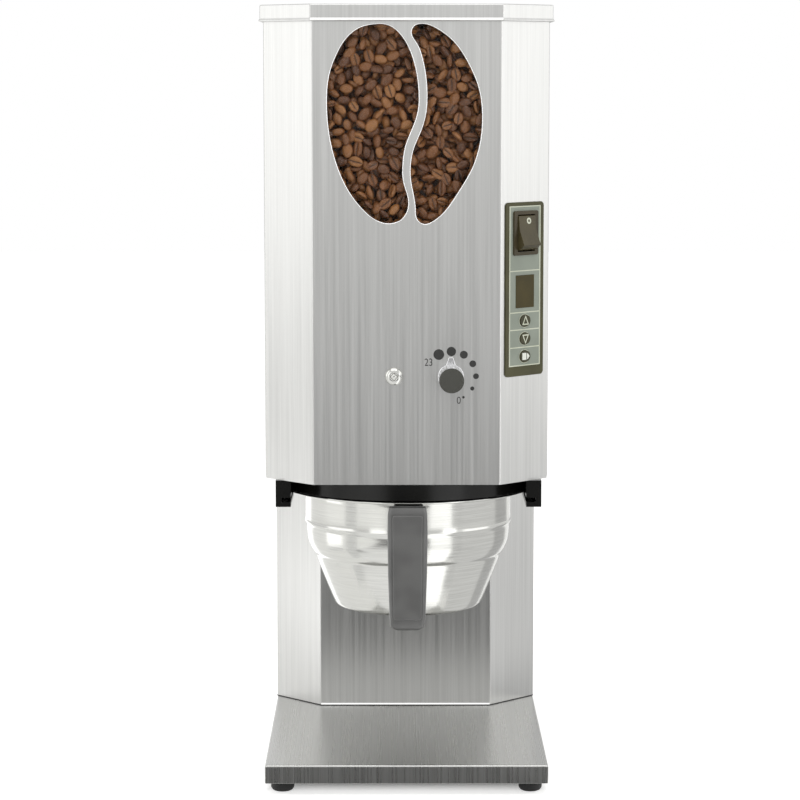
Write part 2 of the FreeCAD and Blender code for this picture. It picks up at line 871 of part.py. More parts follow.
def deck_and_posts():
    low = hopper_rim - hopper_sheet - deck_sheet
    side = half_width - sheet - part_gap
    deck = box(-side, side, housing_front + deck_front_reach, body_depth - sheet - part_gap,
               low, low + deck_sheet)
    deck = deck.cut(prism(hopper_plan("mouth", -part_gap), low - overrun, hopper_rim))
    for x, y in hopper_screw_places():
        deck = deck.cut(rod_z(small_shank + run_clearance, x, y, low - overrun, hopper_rim))
    keep("top_deck", deck)
    posts = []
    for y, turn in ((post_front, 1), (body_depth - post_rear_inset, -1)):
        far = y + turn * post_sheet
        long = y + turn * post_leg
        leg = box(side - post_leg, side, min(y, far), max(y, far), housing_low, low)
        leg = leg.fuse(box(side - post_sheet, side, min(y, long), max(y, long), housing_low, low))
        posts.append(leg.removeSplitter())
        posts.append(mirrored(posts[-1]))
    keep("frame_posts", *posts)


def ring_places(radius, count, start=0.0):
    """Places on a circle round the grinder's axis, as x and z."""
    turns = [start + 2 * math.pi * i / count for i in range(count)]
    return [(grinder_x + radius * math.cos(a), grinder_z + radius * math.sin(a)) for a in turns]


def grinder_castings():
    bolt_ring = (chamber_radius + cavity_radius) / 2
    bolts = ring_places(bolt_ring, bolt_count, math.pi / bolt_count)
    body = rod_y(chamber_radius, grinder_x, grinder_z, chamber_front, chamber_rear)
    body = body.fuse([
        rod_y(feed_radius, grinder_x, grinder_z, chamber_rear, feed_rear),
        rod_y(motor_radius, grinder_x, grinder_z, feed_rear, flange_rear),
        rod_z(neck_radius, grinder_x, neck_y, grinder_z, neck_top),
        rod_z(spout_radius, grinder_x, spout_y, spout_low, grinder_z - cavity_radius),
    ])
    body = body.cut(rod_y(cavity_radius, grinder_x, grinder_z, chamber_front - overrun, cavity_rear))
    body = body.cut(rod_y(feed_cavity, grinder_x, grinder_z, cavity_rear - overrun,
                          feed_rear - feed_back_wall))
    body = body.cut(rod_y(motor_shaft_radius + part_gap, grinder_x, grinder_z, feed_rear - overrun * 2,
                          flange_rear + overrun))
    body = body.cut(rod_y(bearing_radius + fit_clearance, grinder_x, grinder_z, feed_rear,
                          flange_rear + overrun))
    body = body.cut(rod_z(neck_bore, grinder_x, neck_y, grinder_z, neck_top + overrun))
    body = body.cut(rod_z(spout_bore, grinder_x, spout_y, spout_low - overrun,
                          grinder_z - burr_radius))
    for x, z in bolts:
        body = body.cut(rod_y(bolt_shank + run_clearance, x, z, chamber_front - overrun,
                              chamber_front + bolt_reach))
    keep("grinder_body", body.removeSplitter())

    cover = rod_y(chamber_radius, grinder_x, grinder_z, cover_front, chamber_front)
    cover = cover.fuse(rod_y(boss_radius, grinder_x, grinder_z, inner_front, cover_front))
    cover = cover.cut(rod_y(front_screw_shank + run_clearance, grinder_x, grinder_z,
                            inner_front - overrun, inner_front + front_screw_reach + seat_gap))
    cover = cover.cut(rod_y(knob_shaft_radius + run_clearance, knob_x, grinder_z,
                            cover_front - overrun, cover_front + shaft_end_depth))
    for x, z in bolts:
        cover = cover.cut(rod_y(bolt_shank + run_clearance, x, z, cover_front - overrun,
                                chamber_front + overrun))
    pins = ring_places(thrust_pin_ring, thrust_pin_count, math.pi / 2)
    for x, z in pins:
        cover = cover.cut(rod_y(thrust_pin_radius + run_clearance, x, z, cover_front - overrun,
                                chamber_front + overrun))
    keep("chamber_cover", cover.removeSplitter())
    keep("cover_bolts", *[pan_screw(V(x, cover_front, z), V(0, -1, 0),
                                    cover_disc + bolt_reach - seat_gap,
                                    bolt_shank, bolt_head, bolt_head_height) for x, z in bolts])
    ring_front = carrier_front - seat_gap - thrust_ring_thick
    spider = ring_y(thrust_ring_outer, thrust_ring_inner, grinder_x, grinder_z,
                    ring_front, ring_front + thrust_ring_thick)
    keep("thrust_spider", spider.fuse([rod_y(thrust_pin_radius, x, z, gear_rear + seat_gap,
                                             ring_front + thrust_ring_thick) for x, z in pins]))


def burr(front, rear, toothed_rear, bore):
    """Flat burr ring with radial grooves cut into its toothed side."""
    disc = ring_y(burr_radius, bore, grinder_x, grinder_z, front, rear)
    face = rear - burr_groove if toothed_rear else front - overrun
    grooves = []
    for i in range(burr_teeth):
        groove = box(bore - overrun, burr_radius + overrun, face, face + burr_groove + overrun,
                     -burr_groove_width / 2, burr_groove_width / 2)
        groove.rotate(V(0, 0, 0), V(0, 1, 0), 360 * i / burr_teeth)
        groove.translate(V(grinder_x, 0, grinder_z))
        grooves.append(groove)
    return disc.cut(grooves)


def burrs():
    screws = ring_places(burr_screw_ring, burr_screw_count, math.pi / burr_screw_count)
    rotating = burr(carrier_rear, rotating_rear, True, burr_bore)
    fixed = burr(fixed_front, cavity_rear, False, burr_bore)
    carrier = ring_y(carrier_radius, motor_shaft_radius + fit_clearance, grinder_x, grinder_z,
                     carrier_front, carrier_rear)
    screw_set = []
    for x, z in screws:
        hole = rod_y(burr_screw_shank + run_clearance, x, z, carrier_front - overrun,
                     rotating_rear + overrun)
        sink = rod_y(burr_screw_head + part_gap, x, z, rotating_rear - burr_groove - burr_screw_head_height,
                     rotating_rear + overrun)
        rotating = rotating.cut([hole, sink])
        carrier = carrier.cut(hole)
        seat = rotating_rear - burr_groove - burr_screw_head_height
        screw_set.append(pan_screw(V(x, seat, z), V(0, 1, 0), seat - carrier_front,
                                   burr_screw_shank, burr_screw_head, burr_screw_head_height))
    keep("rotating_burr", rotating)
    keep("stationary_burr", fixed)
    keep("burr_carrier", carrier)
    keep("burr_screws", *screw_set)


def auger():
    """Feed screw: a core sleeve with one flight, a ruled band through many turned sections."""
    front = chamber_rear + seat_gap
    rear = feed_rear - feed_back_wall - seat_gap
    core = ring_y(auger_core, motor_shaft_radius + fit_clearance, grinder_x, grinder_z, front, rear)
    root = auger_core - flight_root_sink
    corners = [(root, 0), (auger_radius, 0), (auger_radius, auger_flight), (root, auger_flight)]
    count = int((rear - front - auger_flight) / auger_pitch * flight_steps)
    sections = []
    for i in range(count + 1):
        turn = 2 * math.pi * i / flight_steps
        y = front + auger_pitch * i / flight_steps
        points = [V(grinder_x + r * math.cos(turn), y + rise, grinder_z + r * math.sin(turn))
                  for r, rise in corners]
        sections.append(Part.makePolygon(points + points[:1]))
    flight = Part.makeLoft(sections, True, True)
    keep("feed_auger", core.fuse(flight))


def gear(teeth, x, z, y0, y1, phase, bore):
    """Involute spur gear with its axis along Y; phase turns a tooth's middle away from +X."""
    pitch = gear_module * teeth / 2
    base = pitch * math.cos(math.radians(pressure_angle))
    tip = pitch + gear_module * addendum_share
    root = pitch - gear_module * dedendum_share
    start = max(base, root)
    involute = math.tan(math.radians(pressure_angle)) - math.radians(pressure_angle)
    half_tooth = math.pi / (2 * teeth) - gear_backlash / (4 * pitch)

    def half_angle(radius):
        lean = math.acos(min(1, base / radius))
        return half_tooth + involute - (math.tan(lean) - lean)

    flank = [(root, half_angle(start))]
    for i in range(flank_steps + 1):
        radius = start + (tip - start) * i / flank_steps
        flank.append((radius, half_angle(radius)))
    points = []
    for tooth in range(teeth):
        middle = phase + 2 * math.pi * tooth / teeth
        rising = [(r, middle - a) for r, a in flank]
        falling = [(r, middle + a) for r, a in reversed(flank)]
        points += [V(x + r * math.cos(a), y0, z + r * math.sin(a)) for r, a in rising + falling]
    body = Part.Face(Part.makePolygon(points + points[:1])).extrude(V(0, y1 - y0, 0))
    return body.cut(rod_y(bore, x, z, y0 - overrun, y1 + overrun))


def setting_gears():
    wheel = gear(gear_teeth, grinder_x, grinder_z, gear_front, gear_rear, 0.0,
                 boss_radius + run_clearance)
    web = (gear_module * gear_teeth / 2 + boss_radius) / 2
    for x, z in ring_places(web, web_hole_count, math.pi / web_hole_count):
        wheel = wheel.cut(rod_y(boss_radius / 2, x, z, gear_front - overrun, gear_rear + overrun))
    keep("adjusting_gear", wheel)
    keep("knob_pinion", gear(pinion_teeth, knob_x, grinder_z, gear_front - pinion_extra,
                             gear_rear + pinion_extra, math.pi / pinion_teeth,
                             knob_shaft_radius + fit_clearance))
    keep("gear_keeper", ring_y(boss_radius + gear_module * 2, boss_radius + fit_clearance, grinder_x,
                               grinder_z, gear_front - sheet - seat_gap, gear_front - seat_gap))


def knob():
    front = front_reach
    rear = housing_front - knob_standoff
    body = rod_y(knob_radius, knob_x, grinder_z, front, rear)
    flutes = []
    for i in range(knob_flutes):
        a = 2 * math.pi * i / knob_flutes
        flutes.append(rod_y(knob_flute_radius, knob_x + knob_radius * math.cos(a),
                            grinder_z + knob_radius * math.sin(a),
                            front + knob_flute_radius * 2, rear - knob_flute_radius * 2))
    body = body.cut(flutes)
    body = body.cut(rod_y(knob_dish_radius, knob_x, grinder_z, front - overrun, front + knob_dish_depth))
    body = body.cut(rod_y(knob_shaft_radius + fit_clearance, knob_x, grinder_z,
                          rear - knob_bore_depth, rear + overrun))
    keep("grind_knob", body)
    hub = rod_y(pointer_hub, knob_x, grinder_z, rear, rear + pointer_sheet)
    tip_z = grinder_z + pointer_reach
    tip = [V(knob_x - pointer_half_width, rear, grinder_z), V(knob_x + pointer_half_width, rear, grinder_z),
           V(knob_x + pointer_tip_half_width, rear, tip_z),
           V(knob_x - pointer_tip_half_width, rear, tip_z)]
    arrow = Part.Face(Part.makePolygon(tip + tip[:1])).extrude(V(0, pointer_sheet, 0))
    pointer = hub.fuse(arrow).cut(rod_y(knob_shaft_radius + fit_clearance, knob_x, grinder_z,
                                        rear - overrun, housing_front))
    keep("knob_pointer", pointer.removeSplitter())
    keep("knob_shaft", rod_y(knob_shaft_radius, knob_x, grinder_z, rear - knob_bore_depth + seat_gap,
                             cover_front + shaft_end_depth - seat_gap))
    bushing = rod_y(bushing_radius, knob_x, grinder_z, housing_front, inner_front + bushing_length)
    bushing = bushing.fuse(rod_y(bushing_flange_radius, knob_x, grinder_z,
                                 housing_front - bushing_flange, housing_front))
    bushing = bushing.cut(rod_y(knob_shaft_radius + run_clearance, knob_x, grinder_z,
                                housing_front - overrun, inner_front + bushing_length + overrun))
    keep("knob_bushing", bushing)
    keep("front_screw", pan_screw(V(grinder_x, housing_front, grinder_z), V(0, -1, 0),
                                  sheet + front_screw_reach, front_screw_shank, front_screw_head,
                                  front_screw_head_height))


def motor():
    keep("motor_casing", ring_y(motor_radius, motor_radius - motor_wall, grinder_x, grinder_z,
                                motor_front, motor_rear))
    core_radius = motor_radius - motor_wall - fit_clearance
    core = ring_y(core_radius, stator_bore, grinder_x, grinder_z, stator_front, stator_rear)
    coil = ring_y(slot_outer, slot_inner, grinder_x, grinder_z, stator_front - coil_overhang,
                  stator_front - seat_gap)
    coil = coil.fuse(ring_y(slot_outer, slot_inner, grinder_x, grinder_z, stator_rear + seat_gap,
                            stator_rear + coil_overhang))
    slots = []
    bars = []
    for i in range(slot_count):
        for half, grow, found in ((slot_gap_width / 2, 0, slots),
                                  (slot_gap_width / 2 - part_gap, part_gap, bars)):
            cell = box(slot_inner + grow, slot_outer - grow, stator_front - overrun,
                       stator_rear + overrun, -half, half)
            cell.rotate(V(0, 0, 0), V(0, 1, 0), 360 * i / slot_count)
            cell.translate(V(grinder_x, 0, grinder_z))
            found.append(cell)
    keep("stator_core", core.cut(slots))
    keep("stator_winding", coil.fuse(bars).removeSplitter())
    rotor = rod_y(stator_bore - air_gap, grinder_x, grinder_z, stator_front, stator_rear)
    rotor = rotor.fuse(rod_y(rotor_ring_radius, grinder_x, grinder_z, stator_front - rotor_ring_length,
                             stator_rear + rotor_ring_length))
    keep("rotor_core", rotor.cut(rod_y(motor_shaft_radius + fit_clearance, grinder_x, grinder_z,
                                       motor_front, motor_rear)))
    keep("motor_shaft", rod_y(motor_shaft_radius, grinder_x, grinder_z, carrier_front, shaft_rear))
    front_bearing = ring_y(bearing_radius, motor_shaft_radius + run_clearance, grinder_x, grinder_z,
                           feed_rear, feed_rear + bearing_width)
    boss_front = motor_rear - bell_boss_length
    rear_bearing = ring_y(rear_bearing_radius, motor_shaft_radius + run_clearance, grinder_x,
                          grinder_z, boss_front, boss_front + rear_bearing_width)
    keep("shaft_bearings", front_bearing, rear_bearing)
    bell = rod_y(motor_radius, grinder_x, grinder_z, motor_rear, bell_rear)
    bell = bell.fuse(rod_y(bell_boss_radius, grinder_x, grinder_z, boss_front, motor_rear))
    bell = bell.cut(rod_y(rear_bearing_radius + fit_clearance, grinder_x, grinder_z,
                          boss_front - overrun, boss_front + rear_bearing_width))
    bell = bell.cut(rod_y(motor_shaft_radius + part_gap, grinder_x, grinder_z, boss_front,
                          bell_rear + overrun))
    for x, z in ring_places(bell_vent_ring, bell_vent_count):
        bell = bell.cut(rod_y(bell_vent_radius, x, z, motor_rear - overrun, bell_rear + overrun))
    keep("motor_end_bell", bell)
    fan = rod_y(fan_radius, grinder_x, grinder_z, fan_front, fan_front + fan_disc)
    fan = fan.fuse(rod_y(fan_hub, grinder_x, grinder_z, fan_front, fan_rear))
    blades = []
    for i in range(fan_blades):
        blade = box(fan_hub - overrun, fan_radius, fan_front + fan_disc, fan_rear,
                    -fan_blade_sheet / 2, fan_blade_sheet / 2)
        blade.rotate(V(0, 0, 0), V(0, 1, 0), 360 * i / fan_blades)
        blade.translate(V(grinder_x, 0, grinder_z))
        blades.append(blade)
    fan = fan.fuse(blades)
    keep("cooling_fan", fan.cut(rod_y(motor_shaft_radius + fit_clearance, grinder_x, grinder_z,
                                      fan_front - overrun, fan_rear + overrun)))
    cowl = rod_y(motor_radius, grinder_x, grinder_z, bell_rear, cowl_rear)
    cowl = cowl.cut(rod_y(motor_radius - cowl_sheet, grinder_x, grinder_z, bell_rear - overrun,
                          cowl_rear - cowl_sheet))
    for x, z in ring_places(cowl_vent_ring, cowl_vent_count):
        cowl = cowl.cut(rod_y(cowl_vent_radius, x, z, bell_rear, cowl_rear + overrun))
    keep("fan_cowl", cowl)


def motor_bracket():
    low = housing_low + mount_height
    front = motor_front + bracket_offset
    rear = front + bracket_length
    left = grinder_x - bracket_half_width
    right = grinder_x + bracket_half_width
    bracket = box(left, right, front, rear, low, low + bracket_sheet)
    outer = motor_radius + bracket_collar_wall
    for y in (front, rear - bracket_collar):
        bracket = bracket.fuse(rod_y(outer, grinder_x, grinder_z, y, y + bracket_collar))
        cheek = outer * slot_length_share
        bracket = bracket.fuse(box(grinder_x - cheek, grinder_x + cheek, y, y + bracket_collar,
                                   low, grinder_z))
    bracket = bracket.cut(rod_y(motor_radius + fit_clearance, grinder_x, grinder_z,
                                front - overrun, rear + overrun))
    keep("motor_bracket", bracket.removeSplitter())
    keep("vibration_mounts", *[rod_z(mount_radius, x, y, housing_low, low)
                               for x in (left + mount_inset, right - mount_inset)
                               for y in (front + mount_inset, rear - mount_inset)])


def circle_wire(radius, x, y, z):
    return Part.Wire(Part.makeCircle(radius, V(x, y, z)))


def outlet_chute():
    low = guide_low + chute_sheet
    shoulder = housing_low + chute_tube_height
    top = spout_low - seat_gap
    outer = rod_z(outlet_radius, outlet_x, outlet_y, low, shoulder)
    outer = outer.fuse(Part.makeLoft([circle_wire(outlet_radius, outlet_x, outlet_y, shoulder),
                                      circle_wire(spout_radius, grinder_x, spout_y, top)], True))
    outer = outer.fuse(rod_z(chute_flange_radius, outlet_x, outlet_y, housing_low,
                             housing_low + chute_sheet))
    bore = outlet_radius - chute_sheet
    inner = rod_z(bore, outlet_x, outlet_y, low - overrun, shoulder)
    inner = inner.fuse(Part.makeLoft([circle_wire(bore, outlet_x, outlet_y, shoulder),
                                      circle_wire(spout_bore, grinder_x, spout_y, top)], True))
    keep("outlet_chute", outer.cut(inner).removeSplitter())


def capacitor():
    low = housing_low + seat_gap
    can = rod_z(capacitor_radius, capacitor_x, capacitor_y, low, low + capacitor_length)
    stud_low = floor_under - capacitor_stud_reach
    can = can.fuse(rod_z(capacitor_stud, capacitor_x, capacitor_y, stud_low, low))
    top = low + capacitor_length
    for sx in (-1, 1):
        tag_x = capacitor_x + sx * capacitor_tag_pitch / 2
        can = can.fuse(box(tag_x - sheet / 2, tag_x + sheet / 2, capacitor_y - capacitor_tag / 2,
                           capacitor_y + capacitor_tag / 2, top, top + capacitor_tag * 2))
    keep("run_capacitor", can)


def panel_plate(middle, width, low, high, y0, y1, corner):
    """Upright plate on the corner face with round corners, drawn flat."""
    flat = outline(rectangle(middle - width / 2, middle + width / 2, low, high), 0, corner, (0, 1, 2, 3))
    plate = Part.Face(flat).extrude(V(0, 0, y1 - y0))
    plate.rotate(V(0, 0, 0), V(1, 0, 0), 90)
    plate.translate(V(0, y1, 0))
    return plate


def oval_key(width, height, z, y0, y1):
    """Oval push key on the corner face, drawn flat."""
    ellipse = Part.Ellipse(V(0, 0, 0), width / 2, height / 2).toShape()
    disc = Part.Face(Part.Wire(ellipse)).extrude(V(0, 0, y1 - y0))
    disc.rotate(V(0, 0, 0), V(1, 0, 0), 90)
    disc.translate(V(panel_middle, y1, z))
    return disc


def key_heights():
    return [panel_top - key_first_below_panel_top - i * key_pitch for i in range(key_count)]


def control_panel():
    switch_z = panel_top - switch_middle_below_panel_top
    display_z = panel_top - display_middle_below_panel_top
    key_names = ("key_coarser", "key_finer", "key_start")
    half = bezel_width / 2 - switch_body_margin
    tall = bezel_height / 2 - switch_body_margin
    body_hole = box(panel_middle - half - part_gap, panel_middle + half + part_gap,
                    -panel_sheet - overrun, overrun, switch_z - tall - part_gap, switch_z + tall + part_gap)
    lens_hole = box(panel_middle - display_width / 2 - run_clearance,
                    panel_middle + display_width / 2 + run_clearance, -panel_sheet - overrun, overrun,
                    display_z - display_height / 2 - run_clearance,
                    display_z + display_height / 2 + run_clearance)
    key_holes = [oval_key(key_width + part_gap * 2, key_height + part_gap * 2, z,
                          -panel_sheet - overrun, overrun) for z in key_heights()]
    holes = [body_hole, lens_hole] + key_holes
    fascia = panel_plate(panel_middle, panel_width, panel_low, panel_top, -panel_sheet, 0, panel_corner)
    low = panel_low + field_margin_low
    high = panel_top - field_margin_top
    width = panel_width - field_margin_x * 2
    sink = panel_plate(panel_middle, width, low, high, -panel_sheet - overrun,
                       field_sheet - panel_sheet, field_corner)
    fascia = fascia.cut([sink] + holes)
    keep("control_fascia", on_corner_face(fascia))
    field = panel_plate(panel_middle, width - run_clearance * 2, low + run_clearance,
                        high - run_clearance, -panel_sheet, field_sheet - panel_sheet, field_corner)
    keep("panel_field", on_corner_face(field.cut(holes)))

    bezel = panel_plate(panel_middle, bezel_width, switch_z - bezel_height / 2,
                        switch_z + bezel_height / 2, -panel_sheet - bezel_proud, -panel_sheet, bezel_corner)
    body = bezel.fuse(box(panel_middle - half, panel_middle + half, -panel_sheet, switch_body_depth,
                          switch_z - tall, switch_z + tall))
    well = rocker_radius + part_gap
    slot = rocker_width / 2 + part_gap
    body = body.cut(box(panel_middle - slot, panel_middle + slot, -panel_sheet - overrun,
                        rocker_pivot_depth + well, switch_z - well, switch_z + well))
    pin_reach = half - sheet
    pin_hole = rod(rocker_pin_radius + run_clearance,
                   V(panel_middle - pin_reach, rocker_pivot_depth, switch_z),
                   V(panel_middle + pin_reach, rocker_pivot_depth, switch_z))
    keep("switch_body", on_corner_face(body.cut(pin_hole).removeSplitter()))

    drum = rod(rocker_radius, V(panel_middle - rocker_width / 2, rocker_pivot_depth, switch_z),
               V(panel_middle + rocker_width / 2, rocker_pivot_depth, switch_z))
    face_front = panel_sheet + bezel_proud
    nose = rocker_nose + rocker_pivot_depth
    nose_drop = math.sqrt(rocker_radius ** 2 - nose ** 2)
    top_proud = rocker_top_proud + face_front + rocker_pivot_depth
    top_rise = math.sqrt(rocker_radius ** 2 - top_proud ** 2)
    upper = V(0, -top_proud, top_rise)
    lower = V(0, -nose, -nose_drop)
    hollow = (upper + lower) * 0.5 + V(0, rocker_hollow, 0)
    above = hollow + (upper - hollow) * 3
    below = hollow + (lower - hollow) * 3
    far = -rocker_radius * 3
    face_line = [above, hollow, below, V(0, far, below.z), V(0, far, above.z)]
    side = V(panel_middle - rocker_width, rocker_pivot_depth, switch_z)
    corners = [side + point for point in face_line]
    cutter = Part.Face(Part.makePolygon(corners + corners[:1])).extrude(V(rocker_width * 2, 0, 0))
    drum = drum.cut(cutter)
    pin_reach = pin_reach - part_gap
    drum = drum.fuse(rod(rocker_pin_radius,
                         V(panel_middle - pin_reach, rocker_pivot_depth, switch_z),
                         V(panel_middle + pin_reach, rocker_pivot_depth, switch_z)))
    keep("switch_rocker", on_corner_face(drum.removeSplitter()))

    lens = box(panel_middle - display_width / 2, panel_middle + display_width / 2,
               -panel_sheet - display_proud, display_depth - panel_sheet - display_proud,
               display_z - display_height / 2, display_z + display_height / 2)
    keep("display_lens", on_corner_face(lens))
    for name, z in zip(key_names, key_heights()):
        keep(name, on_corner_face(oval_key(key_width, key_height, z, -panel_sheet - key_proud,
                                           key_depth - panel_sheet - key_proud)))

    front = sheet + board_stand_off
    board_low = panel_low + board_post_inset
    board_high = board_low + board_length
    board = box(panel_middle - board_width / 2, panel_middle + board_width / 2,
                front, front + board_sheet, board_low, board_high)
    for z in key_heights():
        board = board.fuse(box(panel_middle - board_post_inset, panel_middle + board_post_inset,
                               key_depth - panel_sheet - key_proud + key_travel + seat_gap, front,
                               z - board_post_inset, z + board_post_inset))
    board = board.fuse(box(panel_middle - board_chip, panel_middle + board_chip, front + board_sheet,
                           front + board_sheet + board_chip_height,
                           display_z - board_chip, display_z + board_chip))
    relay_z = board_low + board_post_inset * 3
    board = board.fuse(box(panel_middle - relay_length / 2, panel_middle + relay_length / 2,
                           front + board_sheet, front + board_sheet + relay_height,
                           relay_z, relay_z + relay_width))
    keep("control_board", on_corner_face(board))


def guide_screw_places():
    reach = guide_radius * guide_screw_radius_share
    places = []
    for sx in (-1, 1):
        for sy in (-1, 1):
            places.append((basket_x + sx * reach, basket_y + sy * reach * slot_length_share))
    return places


def basket_guide():
    top_low = floor_under - guide_top_sheet
    half = guide_radius
    plan_box = box(basket_x - half, basket_x + half, basket_y, guide_rear, guide_low, floor_under)
    outer = rod_z(guide_radius, basket_x, basket_y, guide_low, floor_under).fuse(plan_box)
    inner = rod_z(guide_radius - guide_wall, basket_x, basket_y, guide_low - overrun, top_low)
    inner = inner.fuse(box(basket_x - half + guide_wall, basket_x + half - guide_wall, basket_y,
                           guide_rear + overrun, guide_low - overrun, top_low))
    guide = outer.cut(box(basket_x - half * 2, basket_x + half * 2, guide_rear, guide_rear + half,
                          guide_low - overrun, floor_under + overrun)).cut(inner)
    for sx in (-1, 1):
        outer_x = basket_x + sx * rail_half_outer
        inner_x = basket_x + sx * rail_half_inner
        rail = box(min(outer_x, inner_x), max(outer_x, inner_x), rail_front, guide_rear,
                   rail_low, floor_under)
        guide = guide.fuse(rail)
    for sx in (-1, 1):
        inner_x = basket_x + sx * (rail_half_inner - overrun)
        deep_x = basket_x + sx * (rail_half_inner + groove_depth)
        guide = guide.cut(box(min(inner_x, deep_x), max(inner_x, deep_x), rail_front - overrun,
                              guide_rear + overrun, rim_low - groove_play, rim_top + groove_play))
    guide = guide.cut(rod_z(outlet_radius + part_gap, outlet_x, outlet_y, top_low - overrun,
                            floor_under + overrun))
    for x, y in guide_screw_places():
        guide = guide.cut(rod_z(small_shank + run_clearance, x, y, top_low - overrun,
                                floor_under + overrun))
        housing_screws.append(pan_screw(V(x, y, top_low), V(0, 0, -1), guide_top_sheet + floor_sheet))
    keep("basket_guide", guide.removeSplitter())


def revolve(points, x, y):
    """Turn a closed outline of radius and height points once round an upright axis."""
    wire = Part.makePolygon([V(r, 0, z) for r, z in points + points[:1]])
    body = Part.Face(wire).revolve(V(0, 0, 0), V(0, 0, 1), 360)
    body.translate(V(x, y, 0))
    return body


def filter_basket():
    outer = [(bowl_band_radius * r, rim_top - bowl_height * z) for r, z in bowl_profile_shares]
    inner = [(r - bowl_sheet, max(z, bowl_low + bowl_sheet)) for r, z in reversed(outer)]
    points = [(bowl_rim_radius, rim_top), (bowl_rim_radius, rim_low), (bowl_band_radius, rim_low)]
    points += outer
    points += [(bowl_drain_radius, bowl_low), (bowl_drain_radius, bowl_low + bowl_sheet)]
    points += inner
    points += [(bowl_band_radius - bowl_sheet, rim_top)]
    bowl = revolve(points, basket_x, basket_y)
    rivet_z = grip_low + grip_height - arm_below_top - arm_height / 2
    places = [(basket_x + side * rivet_spacing / 2, rivet_z) for side in (-1, 1)]
    wall = basket_y - bowl_band_radius
    for x, z in places:
        bowl = bowl.cut(rod_y(rivet_radius + run_clearance, x, z, wall - overrun, wall + overrun))
    keep("filter_basket", bowl)

    grip_x = basket_x - grip_aside
    middle = grip_front + grip_thick / 2
    sections = []
    for rise, wide, thick in grip_section_shares:
        half = grip_width * wide / 2
        deep = grip_thick * thick
        plan = rectangle(grip_x - half, grip_x + half, middle - deep / 2, middle + deep / 2)
        sections.append(outline(plan, grip_low + grip_height * rise, grip_corner, (0, 1, 2, 3)))
    grip = Part.makeLoft(sections, True, True)
    plan = rectangle(grip_x - grip_pocket_half, grip_x + grip_pocket_half,
                     middle - grip_pocket_thick / 2, middle + grip_pocket_thick / 2)
    grip_top = grip_low + grip_height
    levels = (grip_top - grip_pocket_depth, grip_top + overrun)
    pocket = Part.makeLoft([outline(plan, z, grip_pocket_corner, (0, 1, 2, 3)) for z in levels], True, True)
    arm_top = grip_top - arm_below_top
    arm = box(basket_x - arm_width / 2, basket_x + arm_width / 2, middle, basket_y, arm_top - arm_height,
              arm_top)
    arm = arm.cut(rod_z(bowl_band_radius + fit_clearance, basket_x, basket_y, bowl_low, rim_top))
    handle = grip.fuse(arm).cut(pocket)
    rivets = []
    for x, z in places:
        handle = handle.cut(rod_y(rivet_radius + run_clearance, x, z, wall - rivet_reach, wall + overrun))
        inside = wall + bowl_sheet + overrun
        rivets.append(rod_y(rivet_radius, x, z, wall - rivet_reach + seat_gap, inside).fuse(
            rod_y(rivet_head, x, z, inside - rivet_head_height, inside)))
    keep("basket_handle", handle.removeSplitter())
    keep("handle_rivets", *rivets)


base_and_feet()
column()
housing()
lid()
rear_cover()
window()
hopper()
deck_and_posts()
grinder_castings()
burrs()
auger()
setting_gears()
knob()
motor()
motor_bracket()
outlet_chute()
capacitor()
control_panel()
basket_guide()
filter_basket()
keep("housing_screws", *housing_screws)

os.makedirs("parts", exist_ok=True)
for name, shape in nodes.items():
    shape.translate(V(0, -origin_y, 0))
    shape.exportStep("parts/" + name + ".step")
    box_of = shape.BoundBox
    print(name, len(shape.Solids), "valid" if shape.isValid() else "INVALID",
          "%.1f %.1f %.1f" % (box_of.XLength, box_of.YLength, box_of.ZLength))
print(len(nodes), "sub-parts")
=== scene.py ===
import json
import math
import random

import bmesh
import bpy
from mathutils import Euler, Matrix, Vector
from mathutils.bvhtree import BVHTree

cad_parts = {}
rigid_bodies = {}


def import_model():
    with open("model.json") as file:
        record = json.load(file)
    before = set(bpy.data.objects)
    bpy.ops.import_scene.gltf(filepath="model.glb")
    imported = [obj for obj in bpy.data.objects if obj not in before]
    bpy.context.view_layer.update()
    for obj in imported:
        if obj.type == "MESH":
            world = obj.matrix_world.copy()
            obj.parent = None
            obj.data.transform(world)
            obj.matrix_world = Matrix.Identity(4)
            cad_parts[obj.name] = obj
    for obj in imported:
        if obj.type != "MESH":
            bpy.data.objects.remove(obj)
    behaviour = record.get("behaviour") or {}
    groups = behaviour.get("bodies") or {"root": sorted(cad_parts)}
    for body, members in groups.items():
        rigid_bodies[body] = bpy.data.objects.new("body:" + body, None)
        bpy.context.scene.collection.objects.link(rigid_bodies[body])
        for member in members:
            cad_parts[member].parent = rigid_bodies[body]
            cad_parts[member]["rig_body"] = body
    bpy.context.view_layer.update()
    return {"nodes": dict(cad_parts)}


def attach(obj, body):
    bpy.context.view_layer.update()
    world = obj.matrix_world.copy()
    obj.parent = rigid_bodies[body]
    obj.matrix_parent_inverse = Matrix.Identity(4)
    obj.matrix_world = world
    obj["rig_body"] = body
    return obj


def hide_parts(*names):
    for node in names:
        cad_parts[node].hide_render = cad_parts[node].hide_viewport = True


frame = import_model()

# Bulk coffee grinder: brushed steel body with a bean window, a setting knob, a control panel on
# the right-hand corner face and a steel brew basket under it.
# Metres, in the frame of the CAD part: X to the right, Y away from the viewer, Z up.

mm = 0.001
nodes = frame["nodes"]
scene = bpy.context.scene
root_half = math.sqrt(0.5)


# Camera

lens_mm = 126.88
sensor_mm = 36.0
camera_place = Vector((-9.35, -2176.4, 519.9)) * mm
camera_pitch_down = math.radians(6.634)
camera_yaw = math.radians(0.133)

